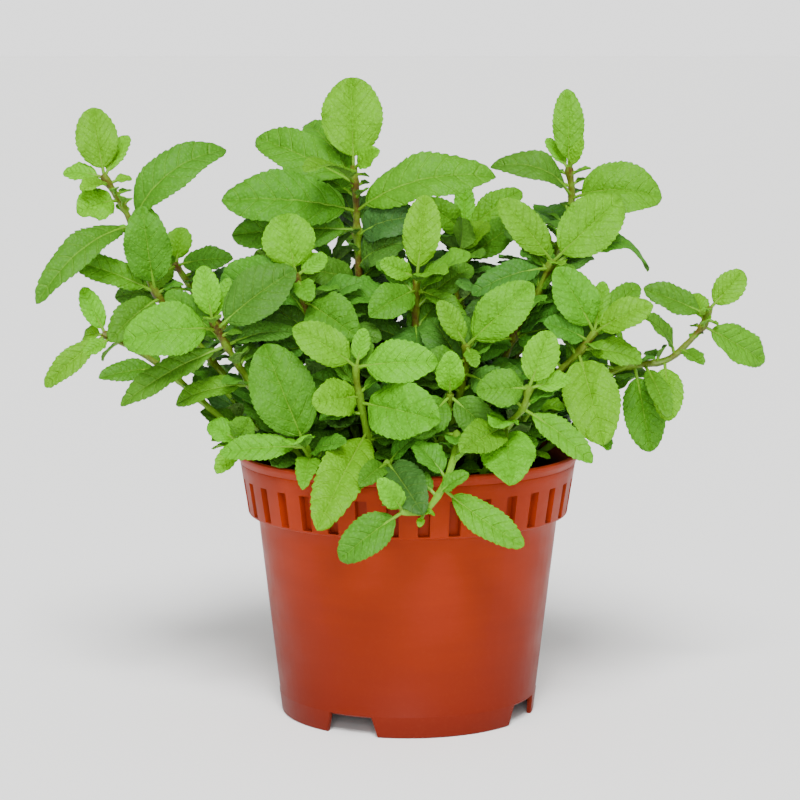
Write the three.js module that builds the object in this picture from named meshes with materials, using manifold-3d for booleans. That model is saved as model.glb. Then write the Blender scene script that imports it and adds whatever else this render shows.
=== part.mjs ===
// Potted mint: a moulded plastic nursery pot, its soil, and one solid for each leafy shoot.
// Millimetres, +Z up, the front is -Y. The origin is the middle of the face that the pot stands on.

import * as THREE from 'three';
import { mergeVertices } from 'three/addons/utils/BufferGeometryUtils.js';
import Module from 'manifold-3d';

const wasm = await Module();
wasm.setup();

// ---------------------------------------------------------------- driving dimensions

// Pot: a thin-walled 14 cm nursery pot with a slotted collar under its lip.
const RIM_RADIUS = 70;
const POT_HEIGHT = 108;
const LIP_HEIGHT = 3;
const COLLAR_TOP_RADIUS = 68.7;
const COLLAR_FOOT_RADIUS = 65.2;
const COLLAR_FOOT_Z = 82.6;
const BODY_TOP_RADIUS = 61.4;
const FOOT_RADIUS = 51.8;
const FOOT_HEIGHT = 9;
const WALL = 1.7;
const POT_SEGMENTS = 34;

// Slots moulded in the collar, with the ribs between them.
const SLOT_COUNT = 34;
const SLOT_WIDTH = 4.6;
const SLOT_TAPER = 0.5;
const SLOT_DEPTH = 2.6;
const SLOT_FOOT_Z = 83.7;
const SLOT_TOP_Z = 97.5;

// Notches in the foot and drain holes in the raised base, a quarter turn apart.
const NOTCH_COUNT = 4;
const NOTCH_ANGLE = -26;
const NOTCH_TOP_WIDTH = 18;
const NOTCH_FOOT_WIDTH = 22;
const NOTCH_HEIGHT = 8;
const DRAIN_RADIUS = 4.5;
const DRAIN_RING = 36;

// Soil
const SOIL_TOP = 95.8;
const SOIL_SEGMENTS = 34;
const CLEARANCE = 0.3;

// Stems are square, as on every mint. These radii reach the corners.
const STEM_START_Z = 97;
const STEM_FOOT_Z = 85;
const STEM_ROOT_RADIUS = 1.8;
const STEM_TOP_RADIUS = 1.4;
const STEM_PAST_TOP = 1.2;

// Leaf blades
const FOLD = 0.16;
const RIB_HALF_THICKNESS = 0.7;
const STALK_HALF_WIDTH = 1.1;
const STALK_HALF_HEIGHT = 0.85;
const STALK_START = 0.2;
const STALK_SHARE = 0.14;
const STALK_SHORTEST = 3;
const STALK_LONGEST = 5;
const TOOTH_OUT = 1.06;
const TOOTH_IN = 0.9;

// Room kept between what belongs to different shoots.
const BLADE_ROOM = 1.5;
const STEM_ROOM = 2.5;
const EDGE_ROOM = 0.9;
const POT_ROOM = 1.8;

// ---------------------------------------------------------------- the shoots seen from the front

// A leaf joins its stem at `place`, counted in points along the stem. It runs to `tip`, and is
// `width` wide. `tilt` is 0 where its upper face looks up and 90 where it looks to the front.
// `arch` is how far its middle stands off the straight line to the tip.
const leaf = (place, tip, width, tilt, arch) => ({ place, tip, width, tilt, arch });
const shoot = (name, stem, leaves) => ({ name, stem, leaves });

const SHOOTS = [
  shoot('far_left_top',
    [[-36, 8, 97], [-58, 5, 118], [-82, 0, 147], [-102, -6, 173], [-107, -6, 190],
      [-114, -4, 206], [-122, -4, 219]], [
      leaf(6, [-127, -2, 247], 17, 80, 2),
      leaf(6, [-113, 3, 236], 8, 60, 2),
      leaf(6, [-139, -5, 221], 8, 55, 2),
      leaf(5.8, [-130, -17, 215], 8, 40, 2),
      leaf(5.3, [-132, -14, 206], 16, 60, 2),
      leaf(4.6, [-74, -2, 231], 19, 50, 12),
      leaf(4.6, [-147, -30, 172], 14, 52, 10),
      leaf(3, [-106, -6, 208], 19, 80, 3),
      leaf(3, [-137, -8, 186], 12, 60, 4),
      leaf(2.9, [-119, -22, 155], 14, 60, 4),
    ]),
  shoot('behind_left',
    [[-28, 24, 97], [-50, 28, 122], [-74, 32, 150], [-90, 35, 170], [-97, 37, 180]], [
      leaf(4, [-95, 42, 196], 11, 80, 2),
      leaf(4, [-73, 28, 184], 11, 60, 2),
      leaf(4, [-109, 26, 171], 10, 60, 2),
      leaf(3.6, [-110, 46, 186], 9, 60, 2),
      leaf(3, [-66, 42, 172], 13, 50, 3),
    ]),
  shoot('left_middle',
    [[-34, -26, 97], [-48, -33, 116], [-62, -41, 140], [-71, -45, 156], [-76, -46, 165]], [
      leaf(4, [-80, -44, 187], 11, 85, 2),
      leaf(4, [-70, -42, 182], 6, 70, 1),
      leaf(3.7, [-110, -55, 159], 22, 66, 6),
      leaf(3.7, [-44, -50, 186], 20, 66, 4),
      leaf(3, [-113, -46, 133], 12, 50, 3),
      leaf(3, [-44, -40, 161], 11, 40, 3),
      leaf(2, [-92, -36, 132], 12, 40, 3),
    ]),
  shoot('far_left_low',
    [[-42, -10, 97], [-68, -13, 116], [-92, -15, 138], [-108, -16, 150], [-121, -18, 157]], [
      leaf(4, [-130, -17, 176], 9, 75, 2),
      leaf(3.8, [-129, -27, 150], 7, 50, 1),
      leaf(4, [-145, -24, 137], 10, 65, 3),
      leaf(3.6, [-124, -8, 146], 5, 30, 1),
      leaf(3, [-113, -4, 165], 8, 60, 2),
      leaf(2.4, [-123, -26, 141], 10, 50, 2),
    ]),
  shoot('tall_middle',
    [[-10, 6, 97], [-15, 4, 130], [-19, 3, 165], [-20.5, 4, 193], [-21, 5, 208], [-22, 6, 222]], [
      leaf(5, [-23, 13, 259], 25, 84, 2),
      leaf(3.8, [35, -2, 220], 21, 55, 11),
      leaf(3.8, [-75, -4, 210], 24, 58, 5),
      leaf(4.6, [-63, 26, 235], 19, 60, 2),
      leaf(4.6, [-40, -27, 224], 15, 25, 4),
      leaf(4.7, [-42, 36, 240], 14, 55, 3),
      leaf(2.3, [-45, -16, 182], 16, 50, 5),
      leaf(2.6, [1, -12, 194], 20, 50, 5),
      leaf(3.3, [-72, 10, 195], 21, 60, 3),
    ]),
  shoot('centre_left',
    [[-22, -16, 97], [-29, -22, 125], [-36, -28, 153], [-41, -32, 172], [-44, -34, 182]], [
      leaf(4, [-49, -28, 206], 21, 78, 3),
      leaf(4, [-75, -41, 177], 19, 66, 4),
      leaf(4, [-32, -34, 190], 8, 70, 1),
      leaf(3.8, [-38, -48, 174], 9, 60, 2),
      leaf(3, [-20, -50, 160], 19, 72, 3),
      leaf(2, [-62, -30, 146], 13, 40, 4),
    ]),
  shoot('centre_upright',
    [[2, -10, 97], [3, -16, 125], [3, -20, 152], [3, -22, 168], [3.5, -22, 180]], [
      leaf(4, [7, -18, 213], 15, 88, 2),
      leaf(4, [-11, -27, 187], 9, 70, 1),
      leaf(3.6, [-15, -38, 167], 15, 64, 3),
      leaf(3.6, [23, -30, 165], 8, 40, 3),
      leaf(2.6, [4, -38, 147], 21, 72, 3),
      leaf(3, [26, -12, 184], 13, 50, 3),
    ]),
  shoot('behind_right', [[14, 22, 97], [18, 30, 130], [22, 38, 160], [24, 42, 180], [24, 44, 192]], [
    leaf(4, [48, 48, 211], 13, 60, 4),
    leaf(4, [6, 36, 207], 13, 60, 3),
    leaf(3, [50, 32, 200], 16, 50, 3),
    leaf(4, [24, 50, 214], 9, 80, 1),
    leaf(3, [4, 52, 176], 13, 50, 3),
  ]),
  shoot('right_top',
    [[24, 8, 97], [36, 9, 125], [50, 12, 158], [62, 14, 190], [67, 15, 208], [66, 15, 221]], [
      leaf(5, [65, 18, 254], 13, 75, 2),
      leaf(5, [57, 16, 234], 6, 60, 1),
      leaf(4.2, [34, 10, 223], 14, 50, 10),
      leaf(4.1, [103, 6, 211], 24, 62, 8),
      leaf(5, [71, 12, 234], 5, 60, 1),
      leaf(3, [40, 24, 196], 13, 50, 3),
    ]),
  shoot('right_middle',
    [[22, -10, 97], [31, -14, 125], [42, -21, 156], [49, -25, 169], [54, -28, 181], [57, -29, 187]], [
      leaf(5, [84, -26, 212], 22, 72, 4),
      leaf(5, [36, -32, 212], 14, 70, 3),
      leaf(4.6, [25, -38, 176], 12, 50, 4),
      leaf(4.7, [97, -20, 183], 15, 34, 13),
      leaf(2, [80, -18, 160], 13, 40, 4),
      leaf(2, [24, -36, 150], 14, 50, 3),
    ]),
  shoot('centre_right',
    [[12, -26, 97], [17, -35, 120], [21, -43, 140], [22.5, -48, 150], [22.5, -50, 156]], [
      leaf(4, [48, -56, 181], 18, 72, 3),
      leaf(4, [12, -51, 174], 9, 72, 2),
      leaf(3, [5, -59, 150], 12, 60, 2),
      leaf(4, [26, -62, 150], 6, 50, 1),
      leaf(2.5, [46, -62, 135], 15, 64, 3),
    ]),
  shoot('right_cluster',
    [[30, -22, 97], [42, -28, 118], [56, -34, 140], [67, -37, 152], [73, -38, 160]], [
      leaf(4, [58, -42, 186], 17, 70, 3),
      leaf(4, [95, -44, 172], 13, 60, 3),
      leaf(4, [77, -34, 180], 8, 60, 2),
      leaf(3.6, [53, -48, 165], 12, 55, 2),
      leaf(3.2, [92, -38, 149], 12, 50, 3),
      leaf(3, [75, -62, 120], 22, 76, 3),
      leaf(3.4, [92, -20, 178], 12, 60, 3),
    ]),
  shoot('far_right',
    [[38, 2, 97], [60, -3, 124], [84, -5, 141], [104, -6, 145], [114, -6, 153],
      [120, -5, 160], [122, -5, 166]], [
      leaf(6, [136, -2, 181], 12, 75, 2),
      leaf(5.6, [95, -9, 175], 12, 60, 1),
      leaf(4.9, [147, 8, 143], 15, 66, 1),
      leaf(3.4, [94, -16, 165], 9, 40, 3),
      leaf(3, [105, -16, 122], 13, 72, 2),
      leaf(2.4, [98, -26, 109], 17, 72, 2),
      leaf(2.6, [103, -34, 126], 9, 20, 2),
      leaf(3.6, [118, -20, 146], 7, 40, 1),
    ]),
  shoot('front_right',
    [[26, -40, 97], [34, -52, 114], [38, -60, 126], [44, -66, 134], [46, -68, 142]], [
      leaf(4, [54, -66, 164], 14, 80, 2),
      leaf(4, [26, -75, 142], 15, 70, 3),
      leaf(3, [70, -77, 115], 11, 55, 3),
      leaf(2, [38, -86, 108], 21, 74, 2),
      leaf(2, [20, -76, 122], 14, 66, 2),
      leaf(4, [62, -70, 146], 8, 60, 1),
    ]),
  shoot('front_centre',
    [[-12, -34, 97], [-15, -44, 115], [-18, -52, 132], [-20, -57, 144], [-20, -58, 149]], [
      leaf(4, [-17, -56, 164], 7, 80, 1),
      leaf(4, [-44, -62, 165], 15, 68, 3),
      leaf(4, [11, -66, 152], 17, 70, 4),
      leaf(2.4, [-36, -70, 137], 16, 70, 2),
      leaf(2.2, [12, -78, 131], 23, 74, 3),
      leaf(1.4, [-34, -92, 93], 19, 66, 4),
    ]),
  shoot('front_left', [[-30, -38, 97], [-36, -46, 108], [-40, -53, 117]], [
    leaf(2, [-56, -48, 157], 25, 76, 4),
    leaf(2, [-73, -54, 115], 11, 60, 3),
    leaf(1.6, [-24, -66, 122], 9, 50, 2),
    leaf(1.4, [-40, -81, 107], 9, 60, 4),
  ]),
  shoot('rim_left', [[-48, -22, 97], [-57, -31, 111], [-66, -39, 116]], [
    leaf(2, [-75, -48, 106], 8, 60, 2),
    leaf(2, [-79, -36, 124], 10, 60, 2),
    leaf(2, [-62, -50, 128], 12, 60, 2),
  ]),
  shoot('rim_front', [[-3, -44, 97], [-5, -54, 106], [-8, -62, 112]], [
    leaf(2, [5, -86, 99], 17, 70, 4),
    leaf(2, [-18, -84, 108], 9, 60, 2),
    leaf(1, [16, -64, 106], 9, 40, 2),
  ]),
  shoot('trailing',
    [[14, -44, 97], [17, -56, 116], [18.5, -64, 124], [18.5, -72, 121], [16, -79, 113], [13, -82, 106],
      [6, -88, 98], [-2, -91, 98.5]], [
      leaf(5, [44, -87, 85], 13, 60, -4),
      leaf(7, [-26, -95, 81], 15, 64, 3),
      leaf(7, [-11, -99, 112], 9, 70, 2),
      leaf(6, [4, -92, 93], 3, 40, 0.5),
    ]),
  shoot('front_low_right', [[8, -36, 97], [12, -48, 116], [15, -56, 130], [16, -60, 138]], [
    leaf(3, [2, -74, 124], 15, 66, 2),
    leaf(3, [32, -76, 124], 14, 66, 2),
    leaf(3, [16, -64, 156], 11, 76, 2),
  ]),
];

// ---------------------------------------------------------------- the shoots behind, grown by rule

// Each grows from the soil at `root` mm from the middle, leans out to `reach` at `height`, and
// stands at `azimuth` degrees, where 0 is to the right and 90 straight back.
const grown = (name, azimuth, root, reach, height) => ({ name, azimuth, root, reach, height });

const GROWN = [
  grown('rim_back_right', 48, 52, 74, 122),
  grown('rim_back', 96, 52, 76, 124),
  grown('rim_back_left', 140, 52, 74, 122),
  grown('inner_right', 40, 16, 28, 186),
  grown('inner_left', 150, 20, 36, 182),
  grown('back_right_side', 14, 44, 88, 138),
  grown('back_right_low', 36, 44, 98, 152),
  grown('back_middle_right_low', 64, 42, 86, 148),
  grown('back_middle_low', 86, 42, 84, 158),
  grown('back_middle_left_low', 112, 42, 86, 150),
  grown('back_left_low', 132, 44, 98, 158),
  grown('back_left_side', 156, 46, 92, 142),
  grown('back_right_high', 30, 30, 60, 178),
  grown('back_middle_right_high', 70, 30, 62, 186),
  grown('back_middle_left_high', 110, 30, 60, 182),
  grown('back_left_high', 146, 34, 64, 172),
];

const GROWN_SEED = 20413;
const GROWN_STEM_POINTS = 5;
const GROWN_PAIR_SPACING = 24;
const GROWN_TRIES = 10;
const GROWN_REACH = 130;
const BACK_REACH = 100;
const LEAF_LENGTH = 40;
const FILL_LENGTH = 30;
const FILL_REACH = 74;
const FILL_SPACING = 1.25;
const GOLDEN_ANGLE = 137.5;

// Steps in mm by which a front leaf gives way to its neighbours, away from the front or towards it.
const GIVE_WAY = [0, -3, 3, -6, 6, -9, 9, -12, 12, -15, 15, -18, 18];

// ---------------------------------------------------------------- small helpers

const vec = (x, y, z) => new THREE.Vector3(x, y, z);
const radians = THREE.MathUtils.degToRad;
const mix = THREE.MathUtils.lerp;
const clamp = THREE.MathUtils.clamp;

// A small generator that gives the same numbers everywhere, from 0 up to 1.
function seeded(seed) {
  let state = seed;
  return () => {
    state = (state * 1664525 + 1013904223) % 4294967296;
    return state / 4294967296;
  };
}

// The point at `place` along a list of points, with the fraction counted between two of them.
function along(points, place) {
  const index = Math.min(Math.floor(place), points.length - 2);
  return points[index].clone().lerp(points[index + 1], place - index);
}

// ---------------------------------------------------------------- solids

function closedSolid(positions, triangles) {
  return new wasm.Manifold(new wasm.Mesh({
    numProp: 3,
    vertProperties: new Float32Array(positions),
    triVerts: new Uint32Array(triangles),
  }));
}

// The solid of a three.js geometry, with its shared corners merged and flat triangles dropped.
function solidOf(geometry) {
  geometry.deleteAttribute('normal');
  geometry.deleteAttribute('uv');
  const merged = mergeVertices(geometry, 1e-4);
  const corners = merged.index.array;
  const triangles = [];
  for (let i = 0; i < corners.length; i += 3) {
    const [a, b, c] = [corners[i], corners[i + 1], corners[i + 2]];
    if (a !== b && b !== c && c !== a) triangles.push(a, b, c);
  }
  return closedSolid(merged.attributes.position.array, triangles);
}

function geometryOf(solid) {
  const { vertProperties, triVerts } = solid.getMesh();
  const geometry = new THREE.BufferGeometry();
  geometry.setAttribute('position', new THREE.BufferAttribute(vertProperties, 3));
  geometry.setIndex(new THREE.BufferAttribute(triVerts, 1));
  return geometry;
}

// A closed profile of [radius, height] points turned about the Z axis.
function turned(profile, segments) {
  const geometry = new THREE.LatheGeometry(profile.map(([r, z]) => new THREE.Vector2(r, z)), segments);
  return solidOf(geometry.rotateX(Math.PI / 2));
}

// Rings of four corners joined into a closed bar.
function bar(rings) {
  const positions = rings.flat().flatMap((corner) => corner.toArray());
  const triangles = [0, 1, 2, 0, 2, 3];
  for (let ring = 0; ring < rings.length - 1; ring += 1) {
    for (let corner = 0; corner < 4; corner += 1) {
      const here = ring * 4 + corner;
      const next = ring * 4 + (corner + 1) % 4;
      triangles.push(here, here + 4, next + 4, here, next + 4, next);
    }
  }
  const end = (rings.length - 1) * 4;
  triangles.push(end, end + 2, end + 1, end, end + 3, end + 2);
  return closedSolid(positions, triangles);
}

// ---------------------------------------------------------------- pot and soil

const bodyRadius = (z) => mix(FOOT_RADIUS, BODY_TOP_RADIUS, z / COLLAR_FOOT_Z);
const collarRadius = (z) => mix(
  COLLAR_FOOT_RADIUS, COLLAR_TOP_RADIUS,
  (z - COLLAR_FOOT_Z) / (POT_HEIGHT - LIP_HEIGHT - COLLAR_FOOT_Z),
);

// The inside of the wall: straight up the body, then out behind the slots, then out to the rim.
const INSIDE = [
  [bodyRadius(FOOT_HEIGHT + WALL) - WALL, FOOT_HEIGHT + WALL],
  [bodyRadius(COLLAR_FOOT_Z) - WALL, COLLAR_FOOT_Z - WALL],
  [collarRadius(SLOT_TOP_Z) - SLOT_DEPTH - WALL, SLOT_TOP_Z + 1],
  [RIM_RADIUS - WALL - 0.4, POT_HEIGHT - 0.3],
];

function insideRadius(z) {
  const upper = Math.max(1, INSIDE.findIndex(([, height]) => height >= z));
  const [r0, z0] = INSIDE[upper - 1];
  const [r1, z1] = INSIDE[upper];
  return mix(r0, r1, (z - z0) / (z1 - z0));
}

// A block that spans the wall at an angle, with its own width at its foot and its top.
function wallCutter(angle, footZ, topZ, footWidth, topWidth, footInner, topInner, outer) {
  const ring = (z, inner, width) => [
    vec(inner, -width / 2, z),
    vec(inner, width / 2, z),
    vec(outer, width / 2, z),
    vec(outer, -width / 2, z),
  ];
  const rings = [ring(footZ, footInner, footWidth), ring(topZ, topInner, topWidth)];
  const turn = (corner) => corner.applyAxisAngle(vec(0, 0, 1), angle);
  return bar(rings.map((corners) => corners.map(turn)));
}

function slots() {
  const cutters = [];
  for (let index = 0; index < SLOT_COUNT; index += 1) {
    const angle = (index / SLOT_COUNT) * 2 * Math.PI;
    cutters.push(wallCutter(
      angle, SLOT_FOOT_Z, SLOT_TOP_Z, SLOT_WIDTH - SLOT_TAPER, SLOT_WIDTH,
      collarRadius(SLOT_FOOT_Z) - SLOT_DEPTH, collarRadius(SLOT_TOP_Z) - SLOT_DEPTH, RIM_RADIUS,
    ));
  }
  return cutters;
}

function notchesAndDrains() {
  const cutters = [];
  for (let index = 0; index < NOTCH_COUNT; index += 1) {
    const front = -Math.PI / 2 + radians(NOTCH_ANGLE);
    const angle = front + (index / NOTCH_COUNT) * 2 * Math.PI;
    const inner = FOOT_RADIUS - 3 * WALL;
    cutters.push(wallCutter(
      angle, -1, NOTCH_HEIGHT, NOTCH_FOOT_WIDTH + 0.5, NOTCH_TOP_WIDTH, inner, inner, FOOT_RADIUS + 5,
    ));
    const drain = new THREE.CylinderGeometry(DRAIN_RADIUS, DRAIN_RADIUS, 3 * WALL, 8).rotateX(Math.PI / 2);
    drain.translate(DRAIN_RING * Math.cos(angle), DRAIN_RING * Math.sin(angle), FOOT_HEIGHT + WALL / 2);
    cutters.push(solidOf(drain));
  }
  return cutters;
}

function makePot() {
  const lipFoot = POT_HEIGHT - LIP_HEIGHT;
  const shell = turned([
    [0, FOOT_HEIGHT],
    [bodyRadius(FOOT_HEIGHT) - WALL, FOOT_HEIGHT],
    [FOOT_RADIUS - WALL, 0],
    [FOOT_RADIUS, 0],
    [BODY_TOP_RADIUS, COLLAR_FOOT_Z],
    [COLLAR_FOOT_RADIUS, COLLAR_FOOT_Z],
    [COLLAR_TOP_RADIUS, lipFoot],
    [RIM_RADIUS - 0.3, lipFoot],
    [RIM_RADIUS, POT_HEIGHT - 1],
    [RIM_RADIUS - 0.8, POT_HEIGHT],
    ...INSIDE.toReversed(),
    [0, FOOT_HEIGHT + WALL],
  ], POT_SEGMENTS);
  return wasm.Manifold.difference([shell, ...slots(), ...notchesAndDrains()]);
}

// The soil fills the pot, and each stem stands in a plain square hole in it.
function makeSoil(stems) {
  const foot = FOOT_HEIGHT + WALL + CLEARANCE;
  const shoulder = INSIDE[1][1];
  const block = turned([
    [0, foot],
    [insideRadius(foot) - CLEARANCE, foot],
    [insideRadius(shoulder) - CLEARANCE, shoulder],
    [insideRadius(SOIL_TOP) - CLEARANCE, SOIL_TOP],
    [0, SOIL_TOP],
  ], SOIL_SEGMENTS);
  const radius = STEM_ROOT_RADIUS + CLEARANCE * Math.SQRT2;
  const square = (root, z) => diamond(vec(root.x, root.y, z), vec(1, 0, 0), vec(0, -1, 0), radius, radius);
  const hole = ([root]) => bar([square(root, STEM_FOOT_Z - CLEARANCE), square(root, SOIL_TOP + 2)]);
  const holes = stems.map(hole);
  return wasm.Manifold.difference([block, ...holes]);
}

// ---------------------------------------------------------------- leaf blades

// The four corners of a bar's section, on the two directions that span it.
function diamond(middle, across, up, halfWidth, halfHeight) {
  return [
    middle.clone().addScaledVector(across, halfWidth),
    middle.clone().addScaledVector(up, halfHeight),
    middle.clone().addScaledVector(across, -halfWidth),
    middle.clone().addScaledVector(up, -halfHeight),
  ];
}

// A blade runs from `base` to `tip`. Its middle line arches, and its halves fold up from that line.
class Blade {
  constructor(owner, base, tip, width, face, arch) {
    Object.assign(this, { owner, base, tip, width, arch });
    const run = tip.clone().sub(base);
    this.length = run.length();
    this.along = run.divideScalar(this.length);
    this.up = face.clone().addScaledVector(this.along, -face.dot(this.along)).normalize();
    this.across = this.along.clone().cross(this.up);
    this.stalk = clamp(STALK_SHARE * this.length, STALK_SHORTEST, STALK_LONGEST) / this.length;
    this.centre = base.clone().lerp(tip, 0.5);
    this.reach = Math.hypot(this.length / 2, width / 2) + Math.abs(arch);
  }

  // Half the blade's width at a share of the way to the tip.
  halfWidth(share) {
    const blade = (share - this.stalk) / (1 - this.stalk);
    if (blade <= 0 || blade >= 1) return 0;
    return 0.5 * this.width * Math.sin(Math.PI * blade ** 0.88) ** 0.6;
  }

  // A point of the blade's middle surface, `sideways` mm from its middle line.
  surface(share, sideways, lift = 0) {
    const rise = 4 * this.arch * share * (1 - share) + FOLD * Math.abs(sideways) + lift;
    return this.base.clone()
      .addScaledVector(this.along, this.length * share)
      .addScaledVector(this.across, sideways)
      .addScaledVector(this.up, rise);
  }

  // How far a point stands off the blade, and where on the blade that is.
  measure(point) {
    const offset = point.clone().sub(this.base);
    const share = offset.dot(this.along) / this.length;
    const sideways = offset.dot(this.across);
    const rise = 4 * this.arch * share * (1 - share) + FOLD * Math.abs(sideways);
    return { gap: offset.dot(this.up) - rise, share, sideways };
  }

  holds(share, sideways, margin) {
    if (share < -margin / this.length || share > 1 + margin / this.length) return false;
    return Math.abs(sideways) <= Math.max(this.halfWidth(clamp(share, 0, 1)), 0.8) + margin;
  }

  // Rows of three points: left edge, middle line, right edge.
  rows() {
    if (!this.kept) {
      this.kept = [0.08, 0.24, 0.38, 0.52, 0.66, 0.8, 0.92, 1].map((share) => (
        [-1, 0, 1].map((side) => this.surface(share, side * this.halfWidth(share)))
      ));
    }
    return this.kept;
  }
}

// The joints of a row list: every point with its right neighbour and the one ahead of it.
function joints(rowCount) {
  const pairs = [];
  for (let row = 0; row < rowCount; row += 1) {
    for (let column = 0; column < 3; column += 1) {
      const here = row * 3 + column;
      if (row < rowCount - 1) pairs.push([here, here + 3]);
      if (column < 2) pairs.push([here, here + 1]);
    }
  }
  return pairs;
}

// Whether blade `one`, from row `first` on, comes too near blade `other` or passes through it.
function pierces(one, other, first) {
  const rows = one.rows().slice(first);
  const marks = rows.flat().map((point) => other.measure(point));
  const near = ({ gap, share, sideways }) => (
    Math.abs(gap) < BLADE_ROOM && other.holds(share, sideways, EDGE_ROOM)
  );
  const through = ([a, b]) => passes(marks[a], marks[b], other, EDGE_ROOM);
  return marks.some(near) || joints(rows.length).some(through);
}

// Whether the line between two measured points goes through a blade.
function passes(from, to, blade, margin) {
  if (from.gap * to.gap >= 0) return false;
  const part = from.gap / (from.gap - to.gap);
  return blade.holds(mix(from.share, to.share, part), mix(from.sideways, to.sideways, part), margin);
}

function bladesMeet(one, other) {
  if (one.centre.distanceTo(other.centre) > one.reach + other.reach) return false;
  const first = one.owner === other.owner ? 1 : 0;
  return pierces(one, other, first) || pierces(other, one, first);
}

function stemMeets(stem, blade) {
  const margin = STEM_ROOT_RADIUS + 0.6;
  for (let index = 0; index < stem.length - 1; index += 1) {
    const steps = Math.max(2, Math.floor(stem[index].distanceTo(stem[index + 1]) / 4));
    let before = null;
    for (let step = 0; step <= steps; step += 1) {
      const mark = blade.measure(stem[index].clone().lerp(stem[index + 1], step / steps));
      if (Math.abs(mark.gap) < STEM_ROOM && blade.holds(mark.share, mark.sideways, margin)) return true;
      if (before && passes(before, mark, blade, margin)) return true;
      before = mark;
    }
  }
  return false;
}

// Whether a blade comes too near the soil or the pot's wall.
function meetsPot(blade) {
  return blade.rows().flat().some((point) => {
    const radius = Math.hypot(point.x, point.y);
    if (radius > RIM_RADIUS + POT_ROOM || point.z > POT_HEIGHT + POT_ROOM) return false;
    if (point.z < SOIL_TOP + POT_ROOM) return true;
    return radius > insideRadius(clamp(point.z, SOIL_TOP, POT_HEIGHT - 1)) - POT_ROOM;
  });
}

// ---------------------------------------------------------------- placing the leaves

function faceOf(tilt) {
  const angle = radians(tilt);
  return vec(0, -Math.sin(angle), Math.cos(angle));
}

// The stem of a grown shoot leans out low down and turns up towards its top.
function grownStem({ azimuth, root, reach, height }) {
  const out = vec(Math.cos(radians(azimuth)), Math.sin(radians(azimuth)), 0);
  const bend = mix(root, reach, 0.72);
  const bendZ = mix(STEM_START_Z, height, 0.38);
  return Array.from({ length: GROWN_STEM_POINTS }, (_, index) => {
    const t = index / (GROWN_STEM_POINTS - 1);
    const distance = (1 - t) ** 2 * root + 2 * t * (1 - t) * bend + t * t * reach;
    const z = (1 - t) ** 2 * STEM_START_Z + 2 * t * (1 - t) * bendZ + t * t * height;
    return out.clone().multiplyScalar(distance).setZ(z);
  });
}

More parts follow.
